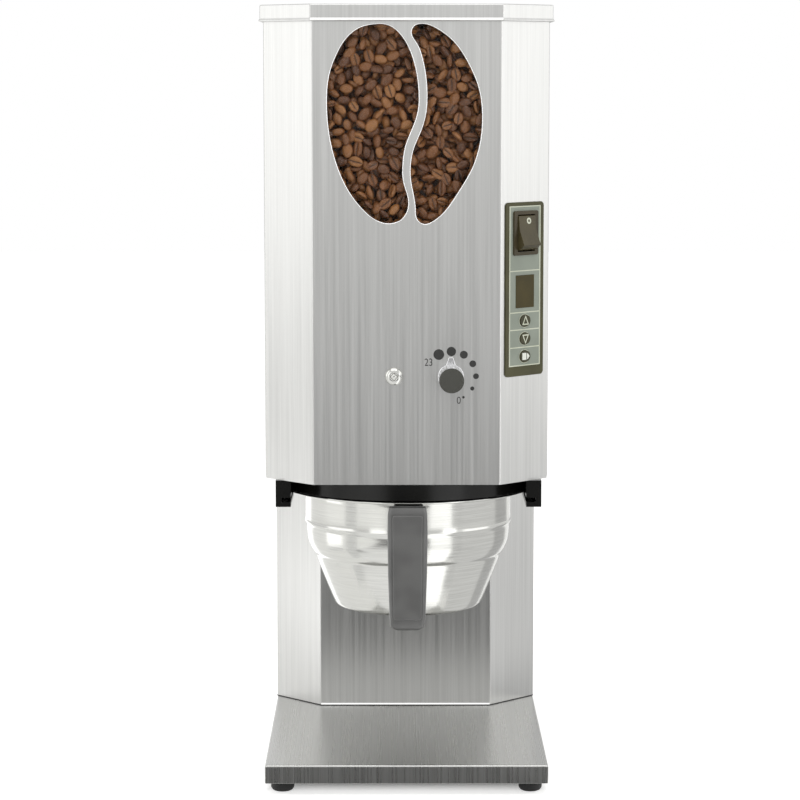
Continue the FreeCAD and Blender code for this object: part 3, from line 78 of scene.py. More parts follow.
lens = bpy.data.cameras.new("camera")
lens.lens = lens_mm
lens.sensor_width = sensor_mm
lens.sensor_fit = "HORIZONTAL"
lens.clip_end = 50
camera = bpy.data.objects.new("camera", lens)
scene.collection.objects.link(camera)
camera.location = camera_place
camera.rotation_euler = (math.pi / 2 - camera_pitch_down, 0, -camera_yaw)
scene.camera = camera
scene.view_settings.view_transform = "Standard"


# Node helpers

def linear(code):
    """An sRGB hex colour as the linear colour that Blender works in."""
    parts = [int(code[i:i + 2], 16) / 255 for i in (1, 3, 5)]
    return tuple(c / 12.92 if c <= 0.04045 else ((c + 0.055) / 1.055) ** 2.4 for c in parts) + (1.0,)


def add(tree, kind, links=None, values=None, stops=(), **settings):
    """Adds one node with its settings, its plain socket values and the sockets that feed it.

    Stops are a colour ramp's (position, hex colour) pairs.
    """
    made = tree.nodes.new(kind)
    for name, value in settings.items():
        setattr(made, name, value)
    for name, value in (values or {}).items():
        made.inputs[name].default_value = value
    for name, source in (links or {}).items():
        tree.links.new(source, made.inputs[name])
    while stops and len(made.color_ramp.elements) < len(stops):
        made.color_ramp.elements.new(1.0)
    for i, (position, code) in enumerate(stops):
        made.color_ramp.elements[i].position = position
        made.color_ramp.elements[i].color = linear(code)
    return made


def new_material(name):
    material = bpy.data.materials.new(name)
    material.use_nodes = True
    tree = material.node_tree
    tree.nodes.clear()
    return material, tree


def grained(tree, cell, detail=3.0, roughness=0.6):
    """Noise in Object coordinates. The cell is the size in millimetres along X, Y and Z."""
    place = add(tree, "ShaderNodeTexCoord").outputs["Object"]
    scale = tuple(1 / (size * mm) for size in cell)
    turned = add(tree, "ShaderNodeMapping", {"Vector": place}, {"Scale": scale}).outputs[0]
    return add(tree, "ShaderNodeTexNoise", {"Vector": turned},
               {"Scale": 1.0, "Detail": detail, "Roughness": roughness}).outputs[0]


def dressed(tree, colour, gloss, rough, grain, bump_mm, bump, values):
    """Ends a material: its roughness follows one noise and its relief another.

    The middle of the noise, where most of it lies, runs from the lower roughness to the higher.
    """
    matt = add(tree, "ShaderNodeMapRange", {"Value": gloss},
               {"From Min": 0.3, "From Max": 0.7, "To Min": rough[0], "To Max": rough[1]})
    relief = add(tree, "ShaderNodeBump", {"Height": grain},
                 {"Strength": bump, "Distance": bump_mm * mm})
    links = {"Base Color": colour, "Roughness": matt.outputs[0], "Normal": relief.outputs[0]}
    shader = add(tree, "ShaderNodeBsdfPrincipled", links, values)
    add(tree, "ShaderNodeOutputMaterial", {"Surface": shader.outputs[0]})


def brushed_sheet(name, light, dark, cell, rough_low, rough_high, wide_cell, grain=0.22):
    """Stainless sheet drawn through an abrasive belt: long fine streaks of tone and gloss.

    The real grit line is about 0.1 mm wide; it is drawn coarser here, so that it shows.
    """
    material, tree = new_material(name)
    fine = grained(tree, cell)
    wide = grained(tree, wide_cell, 2.0)
    both = add(tree, "ShaderNodeMath", {0: fine, 1: wide}, operation="ADD").outputs[0]
    half = add(tree, "ShaderNodeMath", {0: both}, {1: 0.5}, operation="MULTIPLY").outputs[0]
    tone = add(tree, "ShaderNodeValToRGB", {"Fac": half}, stops=[(0.36, dark), (0.64, light)])
    dressed(tree, tone.outputs["Color"], wide, (rough_low, rough_high), fine, 0.010, grain,
            {"Metallic": 1.0})
    return material


def plain_metal(name, light, dark, cell_mm, rough_low, rough_high, bump_mm=0.01, bump=0.2):
    """Metal whose tone and gloss wander a little: plating, casting skin or turning marks."""
    material, tree = new_material(name)
    cell = cell_mm if isinstance(cell_mm, tuple) else (cell_mm,) * 3
    marks = grained(tree, cell)
    tone = add(tree, "ShaderNodeValToRGB", {"Fac": marks}, stops=[(0.35, dark), (0.65, light)])
    dressed(tree, tone.outputs["Color"], marks, (rough_low, rough_high), marks, bump_mm, bump,
            {"Metallic": 1.0})
    return material


def moulded(name, light, dark, cell_mm, rough_low, rough_high, bump_mm=0.02, bump=0.3, shine=0.5):
    """Moulded or printed surface: a fine spark-eroded texture and a slow drift of tone."""
    material, tree = new_material(name)
    grain = grained(tree, (cell_mm,) * 3)
    drift = grained(tree, (18.0,) * 3, 1.0)
    tone = add(tree, "ShaderNodeValToRGB", {"Fac": drift}, stops=[(0.35, dark), (0.65, light)])
    dressed(tree, tone.outputs["Color"], grain, (rough_low, rough_high), grain, bump_mm, bump,
            {"IOR": 1.5, "Specular IOR Level": shine})
    return material


# Materials, by the record's slot

upright_cell = (0.7, 0.7, 90.0)
upright_wide = (2.4, 2.4, 200.0)
# 304 stainless sheet, belt brushed upright: satin, with long streaks and no mirror image
brushed_stainless = brushed_sheet("stainless_304_brushed_upright", "#C8C8C6", "#BCBCBA",
                                  upright_cell, 0.28, 0.34, upright_wide)
# The same sheet with the grain from front to back, as on the base, so its folded rim is upright; its
# tone is set darker than the body sheet's, as painted shade
brushed_stainless_base_shaded = brushed_sheet("stainless_304_brushed_front_to_back_shaded", "#BEBEBC", "#B1B1AE",
                                       (0.5, 110.0, 60.0), 0.26, 0.31, (1.3, 300.0, 200.0), 0.07)
# Deep drawn and buffed stainless: nearly a mirror, with faint rings from the spinning tool
drawn_stainless = plain_metal("stainless_304_drawn_bright", "#C8C8C4", "#BEBEBA",
                              (40.0, 40.0, 0.9), 0.13, 0.19, 0.006, 0.15)
# Bright zinc on the screws and shafts: cool, even and half glossy
zinc_plate = plain_metal("steel_zinc_plated", "#B4B6B8", "#A2A4A6", 6.0, 0.30, 0.42)
# Sand blasted casting: pale, matt and finely pitted
cast_aluminium = plain_metal("aluminium_cast", "#B9B9BA", "#A0A0A2", 1.2, 0.42, 0.58, 0.06, 0.5)
# Hardened burrs, ground: darker than the sheet, with a hard gloss
ground_tool_steel = plain_metal("tool_steel_ground", "#8E8E90", "#77777A", 1.0, 0.22, 0.34)
# Acetal gears: milky white with a waxy sheen
acetal = moulded("acetal_moulded", "#EFEDE6", "#E6E3DA", 0.5, 0.38, 0.46)
# Glass filled nylon from a polished mould: black and glossy
black_nylon = moulded("nylon_black_gloss", "#11110F", "#0A0A09", 0.6, 0.18, 0.26, 0.01, 0.15, 0.26)
# Thermoset grip: mid grey, satin, with a fine pebble
grip_thermoset = moulded("thermoset_grey_satin", "#666665", "#5C5C5B", 0.7, 0.28, 0.36, 0.02, 0.25, 0.6)
# Rubber: nearly black, with no highlight to speak of
foot_rubber = moulded("rubber_black", "#1B1B1B", "#131313", 0.6, 0.55, 0.70, 0.03, 0.4)
# Tinted hopper wall: brown in bulk, with a soft gloss
smoke_polycarbonate = moulded("polycarbonate_smoke_brown", "#6A5444", "#5C4838", 0.8, 0.25, 0.32)
# Printed polyester over the panel: olive, satin, quite flat
fascia_film = moulded("polyester_film_olive", "#4F4D32", "#46442C", 0.4, 0.34, 0.42, 0.01, 0.2, 0.22)
# The same film in a lighter print, for the field round the keys
field_film = moulded("polyester_film_grey_green", "#939A8E", "#8C9387", 0.4, 0.36, 0.44, 0.01, 0.2, 0.3)
# Rocker from a polished mould: brown olive, with a clear highlight
rocker_nylon = moulded("nylon_olive_brown", "#4E472F", "#443D28", 0.5, 0.24, 0.32, 0.01, 0.2, 0.25)
# The switch body is of the same nylon, set darker in tone
switch_nylon = moulded("nylon_dark_olive_brown", "#4A422F", "#3F3828", 0.5, 0.26, 0.34, 0.01, 0.2, 0.2)
# Tinted lens over the figures: dark amber and smooth
display_acrylic = moulded("acrylic_tinted", "#4D4425", "#433C20", 5.0, 0.20, 0.26, 0.004, 0.1, 0.13)
# Soft keys: dull, with a fine grain
key_silicone = moulded("silicone_dark_olive", "#45432E", "#3C3B28", 0.5, 0.45, 0.55, 0.02, 0.3, 0.25)
# Screen inks: matt, opaque and a little uneven at the edge
cream_ink = moulded("screen_ink_cream", "#D2D5C2", "#C8CCB6", 0.4, 0.45, 0.55, 0.008, 0.2)
white_ink = moulded("screen_ink_white", "#EDEFE6", "#E4E6DC", 0.4, 0.45, 0.55, 0.008, 0.2)
black_ink = moulded("screen_ink_black", "#2B2B29", "#232322", 0.4, 0.45, 0.55, 0.008, 0.2)
# Solder mask over glass epoxy: deep green and half glossy
circuit_laminate = moulded("glass_epoxy_green", "#1F5A35", "#194C2C", 0.8, 0.30, 0.40)
# Stoved enamel on the motor: charcoal, with a slight orange peel
motor_enamel = moulded("enamel_baked_charcoal", "#3A3B3E", "#303134", 0.9, 0.32, 0.42)
# Stacked laminations: thin grey edges, one over the other
electrical_steel = plain_metal("electrical_steel_stack", "#8B8B8D", "#6E6E70", (30.0, 0.5, 30.0),
                               0.40, 0.52, 0.05, 0.6)
# Enamelled winding: orange brown, ribbed by its turns
copper_wire = plain_metal("copper_enamelled_wire", "#C77A45", "#A8602F", (0.7, 9.0, 0.7),
                          0.26, 0.36, 0.10, 0.8)
# Near white steel as a painted highlight: along the window's cut edge and the fold at the column's foot
painted_highlight_steel = plain_metal("stainless_304_painted_highlight", "#FBFBFA", "#F4F4F2", 0.5, 0.16, 0.24)
# Aluminium bar, turned and polished
turned_aluminium = plain_metal("aluminium_turned", "#DCDCDD", "#CDCDCE", (0.4, 3.0, 0.4), 0.12, 0.20)


# The knob is painted dark in front of this plane, just behind the front chamfer: a painted dark
# reflection on its end
knob_painted_dark_from = -207.4


def knob_finish():
    """Turned aluminium knob with fine rings; its end is painted dark, a painted reflection of the dark
    surroundings, and its side is left bright.
    """
    material, tree = new_material("aluminium_turned_painted_dark_end")
    marks = grained(tree, (0.4, 3.0, 0.4))
    place = add(tree, "ShaderNodeTexCoord").outputs["Object"]
    depth = add(tree, "ShaderNodeSeparateXYZ", {"Vector": place}).outputs["Y"]
    end = add(tree, "ShaderNodeMath", {0: depth}, {1: knob_painted_dark_from * mm},
              operation="LESS_THAN").outputs[0]
    # The second ramp is the painted dark reflection on the knob's end
    bare, dark = (add(tree, "ShaderNodeValToRGB", {"Fac": marks}, stops=stops).outputs["Color"]
                  for stops in ([(0.35, "#CDCDCE"), (0.65, "#DCDCDD")],
                                [(0.35, "#6C6C66"), (0.65, "#767670")]))
    tone = add(tree, "ShaderNodeMix", {0: end, 6: bare, 7: dark}, data_type="RGBA")
    dressed(tree, tone.outputs[2], marks, (0.13, 0.22), marks, 0.01, 0.2, {"Metallic": 1.0})
    return material


def clear_sheet():
    """Cast acrylic window pane: almost invisible, with a weak clear reflection."""
    material, tree = new_material("acrylic_clear_cast")
    haze = grained(tree, (30.0,) * 3, 1.0)
    matt = add(tree, "ShaderNodeMapRange", {"Value": haze},
               {"From Min": 0.3, "From Max": 0.7, "To Min": 0.02, "To Max": 0.05})
    shader = add(tree, "ShaderNodeBsdfPrincipled", {"Roughness": matt.outputs[0]},
                 {"Base Color": linear("#2A2C2A"), "Alpha": 0.06, "IOR": 1.49})
    add(tree, "ShaderNodeOutputMaterial", {"Surface": shader.outputs[0]})
    return material


def roasted():
    """Medium roast coffee bean: oily sheen, tone from bean to bean, and the crease painted dark as
    painted shade.
    """
    material, tree = new_material("coffee_bean_roasted")
    tone = add(tree, "ShaderNodeAttribute", attribute_name="bean_tone").outputs["Fac"]
    crease = add(tree, "ShaderNodeAttribute", attribute_name="bean_crease_shade").outputs["Fac"]
    skin = grained(tree, (1.1,) * 3)
    wander = add(tree, "ShaderNodeMath", {0: skin, 1: tone}, operation="ADD").outputs[0]
    half = add(tree, "ShaderNodeMath", {0: wander}, {1: 0.5}, operation="MULTIPLY").outputs[0]
    body = add(tree, "ShaderNodeValToRGB", {"Fac": half},
               stops=[(0.22, "#51301A"), (0.50, "#86562F"), (0.78, "#A97442")]).outputs["Color"]
    # Painted shade: the crease vertices get a dark brown
    with_crease_shade = add(tree, "ShaderNodeMix", {0: crease, 6: body}, {7: linear("#3A2415")}, data_type="RGBA")
    dressed(tree, with_crease_shade.outputs[2], skin, (0.32, 0.46), skin, 0.10, 0.5, {"IOR": 1.48})
    return material


knob_aluminium = knob_finish()
clear_acrylic = clear_sheet()
coffee_skin = roasted()
finishes = {
    "brushed_steel": brushed_stainless, "bright_steel": drawn_stainless, "zinc_steel": zinc_plate,
    "cast_alloy": cast_aluminium, "burr_steel": ground_tool_steel, "gear_plastic": acetal,
    "black_plastic": black_nylon, "handle_plastic": grip_thermoset, "rubber": foot_rubber,
    "clear_pane": clear_acrylic, "hopper_plastic": smoke_polycarbonate, "coffee": coffee_skin,
    "fascia_print": fascia_film, "field_print": field_film, "rocker_plastic": rocker_nylon,
    "display_lens": display_acrylic, "key_rubber": key_silicone, "board_laminate": circuit_laminate,
    "motor_paint": motor_enamel, "lamination": electrical_steel, "copper": copper_wire,
    "knob_metal": turned_aluminium,
}
node_slots = {name: item.material_slots[0].material.name for name, item in nodes.items()}
own_finish = {"base_plate": brushed_stainless_base_shaded, "grind_knob": knob_aluminium,
              "switch_body": switch_nylon}
for name, item in nodes.items():
    item.material_slots[0].material = own_finish.get(name, finishes[node_slots[name]])


# Piece helpers

def finished(name, mesh, body, material, smooth=True):
    """Links a piece whose mesh is in place, gives it its material and makes it ride its body."""
    piece = bpy.data.objects.new(name, mesh)
    scene.collection.objects.link(piece)
    mesh.materials.clear()
    mesh.materials.append(material)
    for face in mesh.polygons:
        face.use_smooth = smooth
    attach(piece, body)
    return piece


def to_mesh(bm, name):
    mesh = bpy.data.meshes.new(name)
    bm.to_mesh(mesh)
    bm.free()
    return mesh


def place_all(bm, matrix):
    bmesh.ops.transform(bm, matrix=matrix, verts=bm.verts)


def merged(node):
    """A copy of a CAD node whose coplanar triangles are joined into faces."""
    bm = bmesh.new()
    bm.from_mesh(nodes[node].data)
    bmesh.ops.remove_doubles(bm, verts=bm.verts, dist=0.002 * mm)
    bmesh.ops.dissolve_limit(bm, angle_limit=math.radians(1.0), verts=bm.verts, edges=bm.edges)
    return bm


def round_over(bm, edges, width_mm, segments):
    return bmesh.ops.bevel(bm, geom=edges, offset=width_mm * mm, segments=segments, profile=0.5,
                           affect="EDGES", material=-1, clamp_overlap=False)["faces"]


sharp_angle = math.radians(35.0)


def edged(node, name, width_mm, segments=2, bm=None):
    """A copy of a CAD node with its faces merged and its sharp edges rounded over."""
    mesh = to_mesh(bm or merged(node), name)
    piece = finished(name, mesh, nodes[node]["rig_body"],
                     nodes[node].material_slots[0].material)
    rounding = piece.modifiers.new("edge", "BEVEL")
    rounding.width = width_mm * mm
    rounding.segments = segments
    rounding.limit_method = "ANGLE"
    rounding.angle_limit = sharp_angle
    rounding.use_clamp_overlap = True
    rounding.harden_normals = True
    flat = piece.modifiers.new("flat", "WEIGHTED_NORMAL")
    flat.weight = 80
    flat.keep_sharp = True
    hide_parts(node)


# Planes that carry print: the flat front and the right-hand corner face

front_plane_y = -179.6
front_flat_half = 67.0
front_plane = Matrix(((1, 0, 0, 0), (0, 0, -1, front_plane_y * mm), (0, 1, 0, 0), (0, 0, 0, 1)))
corner_plane = Matrix(((root_half, 0, root_half, front_flat_half * mm),
                       (root_half, 0, -root_half, front_plane_y * mm), (0, 1, 0, 0), (0, 0, 0, 1)))
ink_mm = 0.06
ink_sink_mm = 0.03


def plate(bm, outline, low, high):
    """Adds a flat plate of an outline in millimetres, from height low to high."""
    corners = [bm.verts.new((x * mm, y * mm, low * mm)) for x, y in outline]
    face = bm.faces.new(corners)
    raised = bmesh.ops.extrude_face_region(bm, geom=[face])["geom"]
    top = [v for v in raised if isinstance(v, bmesh.types.BMVert)]
    bmesh.ops.translate(bm, vec=(0, 0, (high - low) * mm), verts=top)


def oval(x, y, half_x, half_y, count=48):
    return [(x + half_x * math.cos(2 * math.pi * i / count),
             y + half_y * math.sin(2 * math.pi * i / count)) for i in range(count)]


def disc_outline(x, y, radius):
    return oval(x, y, radius, radius, 40)


def frame_bars(x0, x1, y0, y1, wide_x, wide_y):
    """The four bars of a rectangular line, as outlines."""
    inner_x0, inner_x1 = x0 + wide_x, x1 - wide_x
    sides = [(x0, inner_x0, y0, y1), (inner_x1, x1, y0, y1),
             (inner_x0, inner_x1, y0, y0 + wide_y), (inner_x0, inner_x1, y1 - wide_y, y1)]
    return [[(left, low), (right, low), (right, high), (left, high)]
            for left, right, low, high in sides]


def inked(name, bm, plane, body, material):
    """Lays a print that was built flat onto its plane."""
    bmesh.ops.recalc_face_normals(bm, faces=bm.faces)
    place_all(bm, plane)
    finished(name, to_mesh(bm, name), body, material, smooth=False)


def printed(name, outlines, plane, body, material, low=-ink_sink_mm, high=ink_mm):
    """Screen print: thin plates of ink on one of the planes."""
    bm = bmesh.new()
    for outline in outlines:
        plate(bm, outline, low, high)
    inked(name, bm, plane, body, material)


def lettered(name, words, plane, body, material):
    """Plain figures, each as (text, left, right, bottom, top) in millimetres on the plane."""
    bm = bmesh.new()
    for text, left, right, bottom, top in words:
        curve = bpy.data.curves.new(name, "FONT")
        curve.body = text
        carrier = bpy.data.objects.new(name, curve)
        flat = bpy.data.meshes.new_from_object(carrier)
        bpy.data.objects.remove(carrier)
        part = bmesh.new()
        part.from_mesh(flat)
        bpy.data.meshes.remove(flat)
        bmesh.ops.remove_doubles(part, verts=part.verts, dist=1e-5)
        xs = [v.co.x for v in part.verts]
        ys = [v.co.y for v in part.verts]
        wide = (right - left) * mm / (max(xs) - min(xs))
        tall = (top - bottom) * mm / (max(ys) - min(ys))
        for v in part.verts:
            v.co = ((v.co.x - min(xs)) * wide + left * mm, (v.co.y - min(ys)) * tall + bottom * mm,
                    -ink_sink_mm * mm)
        raised = bmesh.ops.extrude_face_region(part, geom=part.faces[:])["geom"]
        bmesh.ops.translate(part, vec=(0, 0, (ink_mm + ink_sink_mm) * mm),
                            verts=[v for v in raised if isinstance(v, bmesh.types.BMVert)])
        bmesh.ops.recalc_face_normals(part, faces=part.faces)
        whole = to_mesh(part, name)
        bm.from_mesh(whole)
        bpy.data.meshes.remove(whole)
    place_all(bm, plane)
    finished(name, to_mesh(bm, name), body, material, smooth=False)


# Dial print on the front: seven dots that grow with the setting, and two figures

dots = [(22.9, 320.2, 10.8), (31.8, 322.4, 9.4), (40.7, 320.1, 8.0), (47.1, 313.6, 6.8),
        (49.4, 304.7, 5.8), (46.8, 295.9, 4.2), (40.5, 289.6, 2.6)]
# The dots' diameters are as read in the photograph, which shows the front at this scale
pixels_per_mm = 1.41
printed("dial_dots", [disc_outline(x, z, d / pixels_per_mm / 2) for x, z, d in dots], front_plane,
        "housing", black_ink)
lettered("dial_figures", [("23", 12.8, 18.3, 312.1, 317.4), ("0", 35.8, 38.6, 284.9, 290.0)],
         front_plane, "housing", black_ink)


# Panel print on the corner face: cream line round the field, dividers, key rings and icons

field_left, field_right, field_low, field_high = 7.5, 40.3, 310.6, 425.2
line_side, line_level = 1.0, 0.75
panel_print = frame_bars(field_left, field_right, field_low, field_high, line_side, line_level)
for level in (378.9, 349.1, 336.7, 324.0):
    panel_print.append([(field_left, level - line_level / 2), (field_right, level - line_level / 2),
                        (field_right, level + line_level / 2), (field_left, level + line_level / 2)])
panel_proud_mm = 1.0
printed("panel_lines", panel_print, corner_plane, "housing", cream_ink,
        panel_proud_mm - ink_sink_mm, panel_proud_mm + ink_mm)

key_middle, key_first, key_pitch = 23.9, 343.0, 12.8
key_half_wide, key_half_tall = 5.2, 4.25
key_top_mm = 2.0


def band(bm, outer, inner, low, high):
    """Adds a flat closed band between two outlines with as many points, in millimetres."""
    count = len(outer)
    far = [bm.verts.new((x * mm, y * mm, low * mm)) for x, y in outer]
    near = [bm.verts.new((x * mm, y * mm, low * mm)) for x, y in inner]
    faces = [bm.faces.new((far[i], far[(i + 1) % count], near[(i + 1) % count], near[i]))
             for i in range(count)]
    raised = bmesh.ops.extrude_face_region(bm, geom=faces)["geom"]
    bmesh.ops.translate(bm, vec=(0, 0, (high - low) * mm),
                        verts=[v for v in raised if isinstance(v, bmesh.types.BMVert)])


def banded(name, pairs, plane, body, material, low, high):
    bm = bmesh.new()
    for outer, inner in pairs:
        band(bm, outer, inner, low, high)
    inked(name, bm, plane, body, material)


rings = []
for i in range(3):
    level = key_first - i * key_pitch
    rings.append((oval(key_middle, level, key_half_wide + 0.7, key_half_tall + 0.7),
                  oval(key_middle, level, key_half_wide + 0.25, key_half_tall + 0.25)))
banded("key_rings", rings, corner_plane, "housing", cream_ink,
       panel_proud_mm - ink_sink_mm, panel_proud_mm + ink_mm)


def triangle_outline(x, y, up):
    """Outer and inner outline of an arrow head that points up or down."""
    outer = [(x, y + up * 3.9), (x - 3.5, y - up * 2.9), (x + 3.5, y - up * 2.9)]
    inner = [(x, y + up * 2.2), (x - 2.2, y - up * 2.1), (x + 2.2, y - up * 2.1)]
    return outer, inner


for name, body, turn, i in (("coarser_icon", "coarser_key", 1, 0), ("finer_icon", "finer_key", -1, 1)):
    banded(name, [triangle_outline(key_middle, key_first - i * key_pitch, turn)], corner_plane, body,
           cream_ink, key_top_mm - ink_sink_mm, key_top_mm + ink_mm)
start_level = key_first - 2 * key_pitch
printed("start_icon", [
    [(key_middle - 3.3, start_level - 2.5), (key_middle + 0.9, start_level - 2.5),
     (key_middle + 0.9, start_level + 2.5), (key_middle - 3.3, start_level + 2.5)],
    [(key_middle + 1.6, start_level - 2.2), (key_middle + 2.6, start_level - 2.0),
     (key_middle + 4.4, start_level), (key_middle + 2.6, start_level + 2.0),
     (key_middle + 1.6, start_level + 2.2)],
], corner_plane, "start_key", white_ink, key_top_mm - ink_sink_mm, key_top_mm + ink_mm)


mark_across, mark_level = 25.4, 414.6
mark_outer_mm, mark_inner_mm = 2.25, 1.0


def off_mark():
    """The plain ring on the rocker, laid on its curved face."""
    tree = BVHTree.FromPolygons([v.co.copy() for v in nodes["switch_rocker"].data.vertices],
                                [tuple(f.vertices) for f in nodes["switch_rocker"].data.polygons])
    start = corner_plane @ Vector((mark_across * mm, mark_level * mm, 40 * mm))
    outward = corner_plane.to_3x3() @ Vector((0, 0, 1))
    hit, normal, _, _ = tree.ray_cast(start, -outward)
    turn = normal.to_track_quat("Z", "Y").to_matrix().to_4x4()
    bm = bmesh.new()
    band(bm, disc_outline(0, 0, mark_outer_mm), disc_outline(0, 0, mark_inner_mm),
         -ink_sink_mm * 3, ink_mm)
    inked("off_mark", bm, Matrix.Translation(hit) @ turn, "rocker", cream_ink)


off_mark()

# Steel skins and mouldings: these CAD nodes get rounded edges, and the others stay as built

bend_round_mm, cut_round_mm = 1.5, 0.55
window_low_mm, window_high_mm = 409.0, 555.0
window_half_mm, window_aside_mm = 60.0, -1.5
rim_lift_mm, rim_thick_mm = 0.03, 0.05


def window_rim_highlight(faces):
    """The painted highlight round the window: a near white skin over the rounded cut edge."""
    bm = bmesh.new()
    lifted = {}
    for face in faces:
        for v in face.verts:
            if v not in lifted:
                lifted[v] = bm.verts.new(v.co + v.normal * rim_lift_mm * mm)
        bm.faces.new([lifted[v] for v in face.verts])
    bmesh.ops.recalc_face_normals(bm, faces=bm.faces)
    bmesh.ops.solidify(bm, geom=bm.faces[:], thickness=rim_thick_mm * mm)
    bmesh.ops.recalc_face_normals(bm, faces=bm.faces)
    finished("window_rim_highlight", to_mesh(bm, "window_rim_highlight"), "housing", painted_highlight_steel)


def housing_skin():
    """The body sheet, with its folding radii at the front and the window's rounded cut edge, which
    carries a painted highlight skin.
    """
    bm = merged("housing_shell")
    for v in bm.verts:
        x, y, z = v.co / mm
        if abs(x) < window_half_mm and y < front_plane_y + 4 and window_low_mm < z < window_high_mm:
            v.co.x += window_aside_mm * mm
    bends, cuts = [], []
    for edge in bm.edges:
        a, b = (v.co / mm for v in edge.verts)
        if abs(a.y - front_plane_y) > 0.02 or abs(b.y - front_plane_y) > 0.02:
            continue
        if abs(a.x - b.x) < 0.01 and abs(abs(a.x) - front_flat_half) < 0.1:
            bends.append(edge)
        elif window_low_mm < a.z < window_high_mm and edge.calc_face_angle(0.0) > 1.0:
            cuts.append(edge)
    round_over(bm, bends, bend_round_mm, 4)
    window_rim_highlight(round_over(bm, cuts, cut_round_mm, 3))
    edged("housing_shell", "housing_skin", 0.25, bm=bm)


def hull(points):
    """Convex outline of flat points, counter-clockwise."""
    points = sorted(set(points))
    halves = []
    for run in (points, points[::-1]):
        chain = []
        for p in run:
            while len(chain) > 1:
                (ax, ay), (bx, by) = chain[-2], chain[-1]
                if (bx - ax) * (p[1] - ay) - (by - ay) * (p[0] - ax) > 1e-6:
                    break
                chain.pop()
            chain.append(p)
        halves += chain[:-1]
    return [Vector(p) for p in halves]


hem_profile = [(-0.3, 2.1), (0.0, 2.1), (0.8, 0.7), (0.8, 0.25), (0.5, 0.0), (-0.3, 0.0)]


def swept(line, profile, level, closed):
    """Carries a profile of (outward, upward) millimetres along a flat line, with mitred corners."""
    count = len(line)
    spans = count if closed else count - 1
    bm = bmesh.new()
    rings = []
    for out, up in profile:
        ring = []
        for i, p in enumerate(line):
            before = (p - line[i - 1]).normalized()
            after = (line[(i + 1) % count] - p).normalized()
            if not closed and i == 0:
                before = after
            if not closed and i == spans:
                after = before
            mitre = (before + after).normalized()
            place = p + Vector((mitre.y, -mitre.x)) * out / before.dot(mitre)
            ring.append(bm.verts.new((place.x * mm, place.y * mm, (level + up) * mm)))
        rings.append(ring)
    for near, far in zip(rings, rings[1:] + rings[:1]):
        for i in range(spans):
            j = (i + 1) % count
            bm.faces.new((near[i], near[j], far[j], far[i]))
    if not closed:
        bm.faces.new([ring[0] for ring in rings])
        bm.faces.new([ring[-1] for ring in rings])
    bmesh.ops.recalc_face_normals(bm, faces=bm.faces)
    return bm


def lid_hem():
    """The folded hem along the lid's lower edge; its upper side slopes and catches the top light."""
    corners = [v.co / mm for v in nodes["lid"].data.vertices]
    low = min(v.z for v in corners)
    outline = hull([(round(v.x, 2), round(v.y, 2)) for v in corners if v.z < low + 0.05])
    finished("lid_hem", to_mesh(swept(outline, hem_profile, low, True), "lid_hem"), "lid",
             brushed_stainless, False)


column_front_y, column_flat_half = 10.4, 66.6
column_side_half, column_side_y = 102.5, 46.4
tray_top = 22.7
shadow_strip_profile = [(-0.2, 0.0), (0.7, 0.0), (0.5, 0.6), (-0.2, 0.6)]
highlight_strip_profile = [(-0.2, 0.6), (0.5, 0.6), (0.22, 1.8), (-0.2, 1.8)]


def column_foot():
    """A black strip as painted shadow where the column meets the tray, and a near white strip as
    painted highlight along the fold over its front.
    """
    flat = [Vector((-column_flat_half, column_front_y)), Vector((column_flat_half, column_front_y))]
    line = [Vector((-column_side_half, column_side_y)), *flat,
            Vector((column_side_half, column_side_y))]
    # Painted shadow: a black strip along the column's foot
    finished("column_painted_shadow", to_mesh(swept(line, shadow_strip_profile, tray_top, False), "column_painted_shadow"),
             "housing", foot_rubber, False)
    # Painted highlight: a near white strip along the front fold
    finished("column_painted_highlight", to_mesh(swept(flat, highlight_strip_profile, tray_top, False), "column_painted_highlight"),
             "housing", painted_highlight_steel, False)


screw_x, screw_z = -9.0, 304.5
screw_profile = [(0.0, 1.3), (2.2, 1.3), (2.5, 2.9), (2.8, 3.05), (3.6, 2.95), (4.6, 2.6), (5.6, 1.95),
                 (6.2, 1.1), (6.5, 0.2), (6.5, 0.0), (3.0, 0.0), (3.0, -17.1), (0.0, -17.1)]


# The cross recess: radii between which the dome is drawn into four lobes, and how far
recess_from_mm, recess_to_mm, recess_share = 2.0, 2.7, 0.22


def screw_domed():
    """The front screw: a domed head with a cross recess."""
    bm = bmesh.new()
    line = [bm.verts.new((r * mm, 0, h * mm)) for r, h in screw_profile]
    edges = [bm.edges.new(pair) for pair in zip(line, line[1:])]
    bmesh.ops.spin(bm, geom=line + edges, cent=(0, 0, 0), axis=(0, 0, 1), dvec=(0, 0, 0),
                   angle=2 * math.pi, steps=48, use_merge=True)
    bmesh.ops.remove_doubles(bm, verts=bm.verts, dist=0.001 * mm)
    for v in bm.verts:
        out = math.hypot(v.co.x, v.co.y)
        if v.co.z > 1.0 * mm and recess_from_mm * mm < out < recess_to_mm * mm:
            lobe = 1 + recess_share * math.cos(4 * math.atan2(v.co.y, v.co.x))
            v.co.x *= lobe
            v.co.y *= lobe
    bmesh.ops.recalc_face_normals(bm, faces=bm.faces)
    place_all(bm, Matrix.Translation(Vector((screw_x, front_plane_y, screw_z)) * mm)
              @ Matrix.Rotation(math.pi / 2, 4, "X"))
    piece = finished("screw_domed", to_mesh(bm, "screw_domed"), "housing",
                     drawn_stainless)
    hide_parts("front_screw")


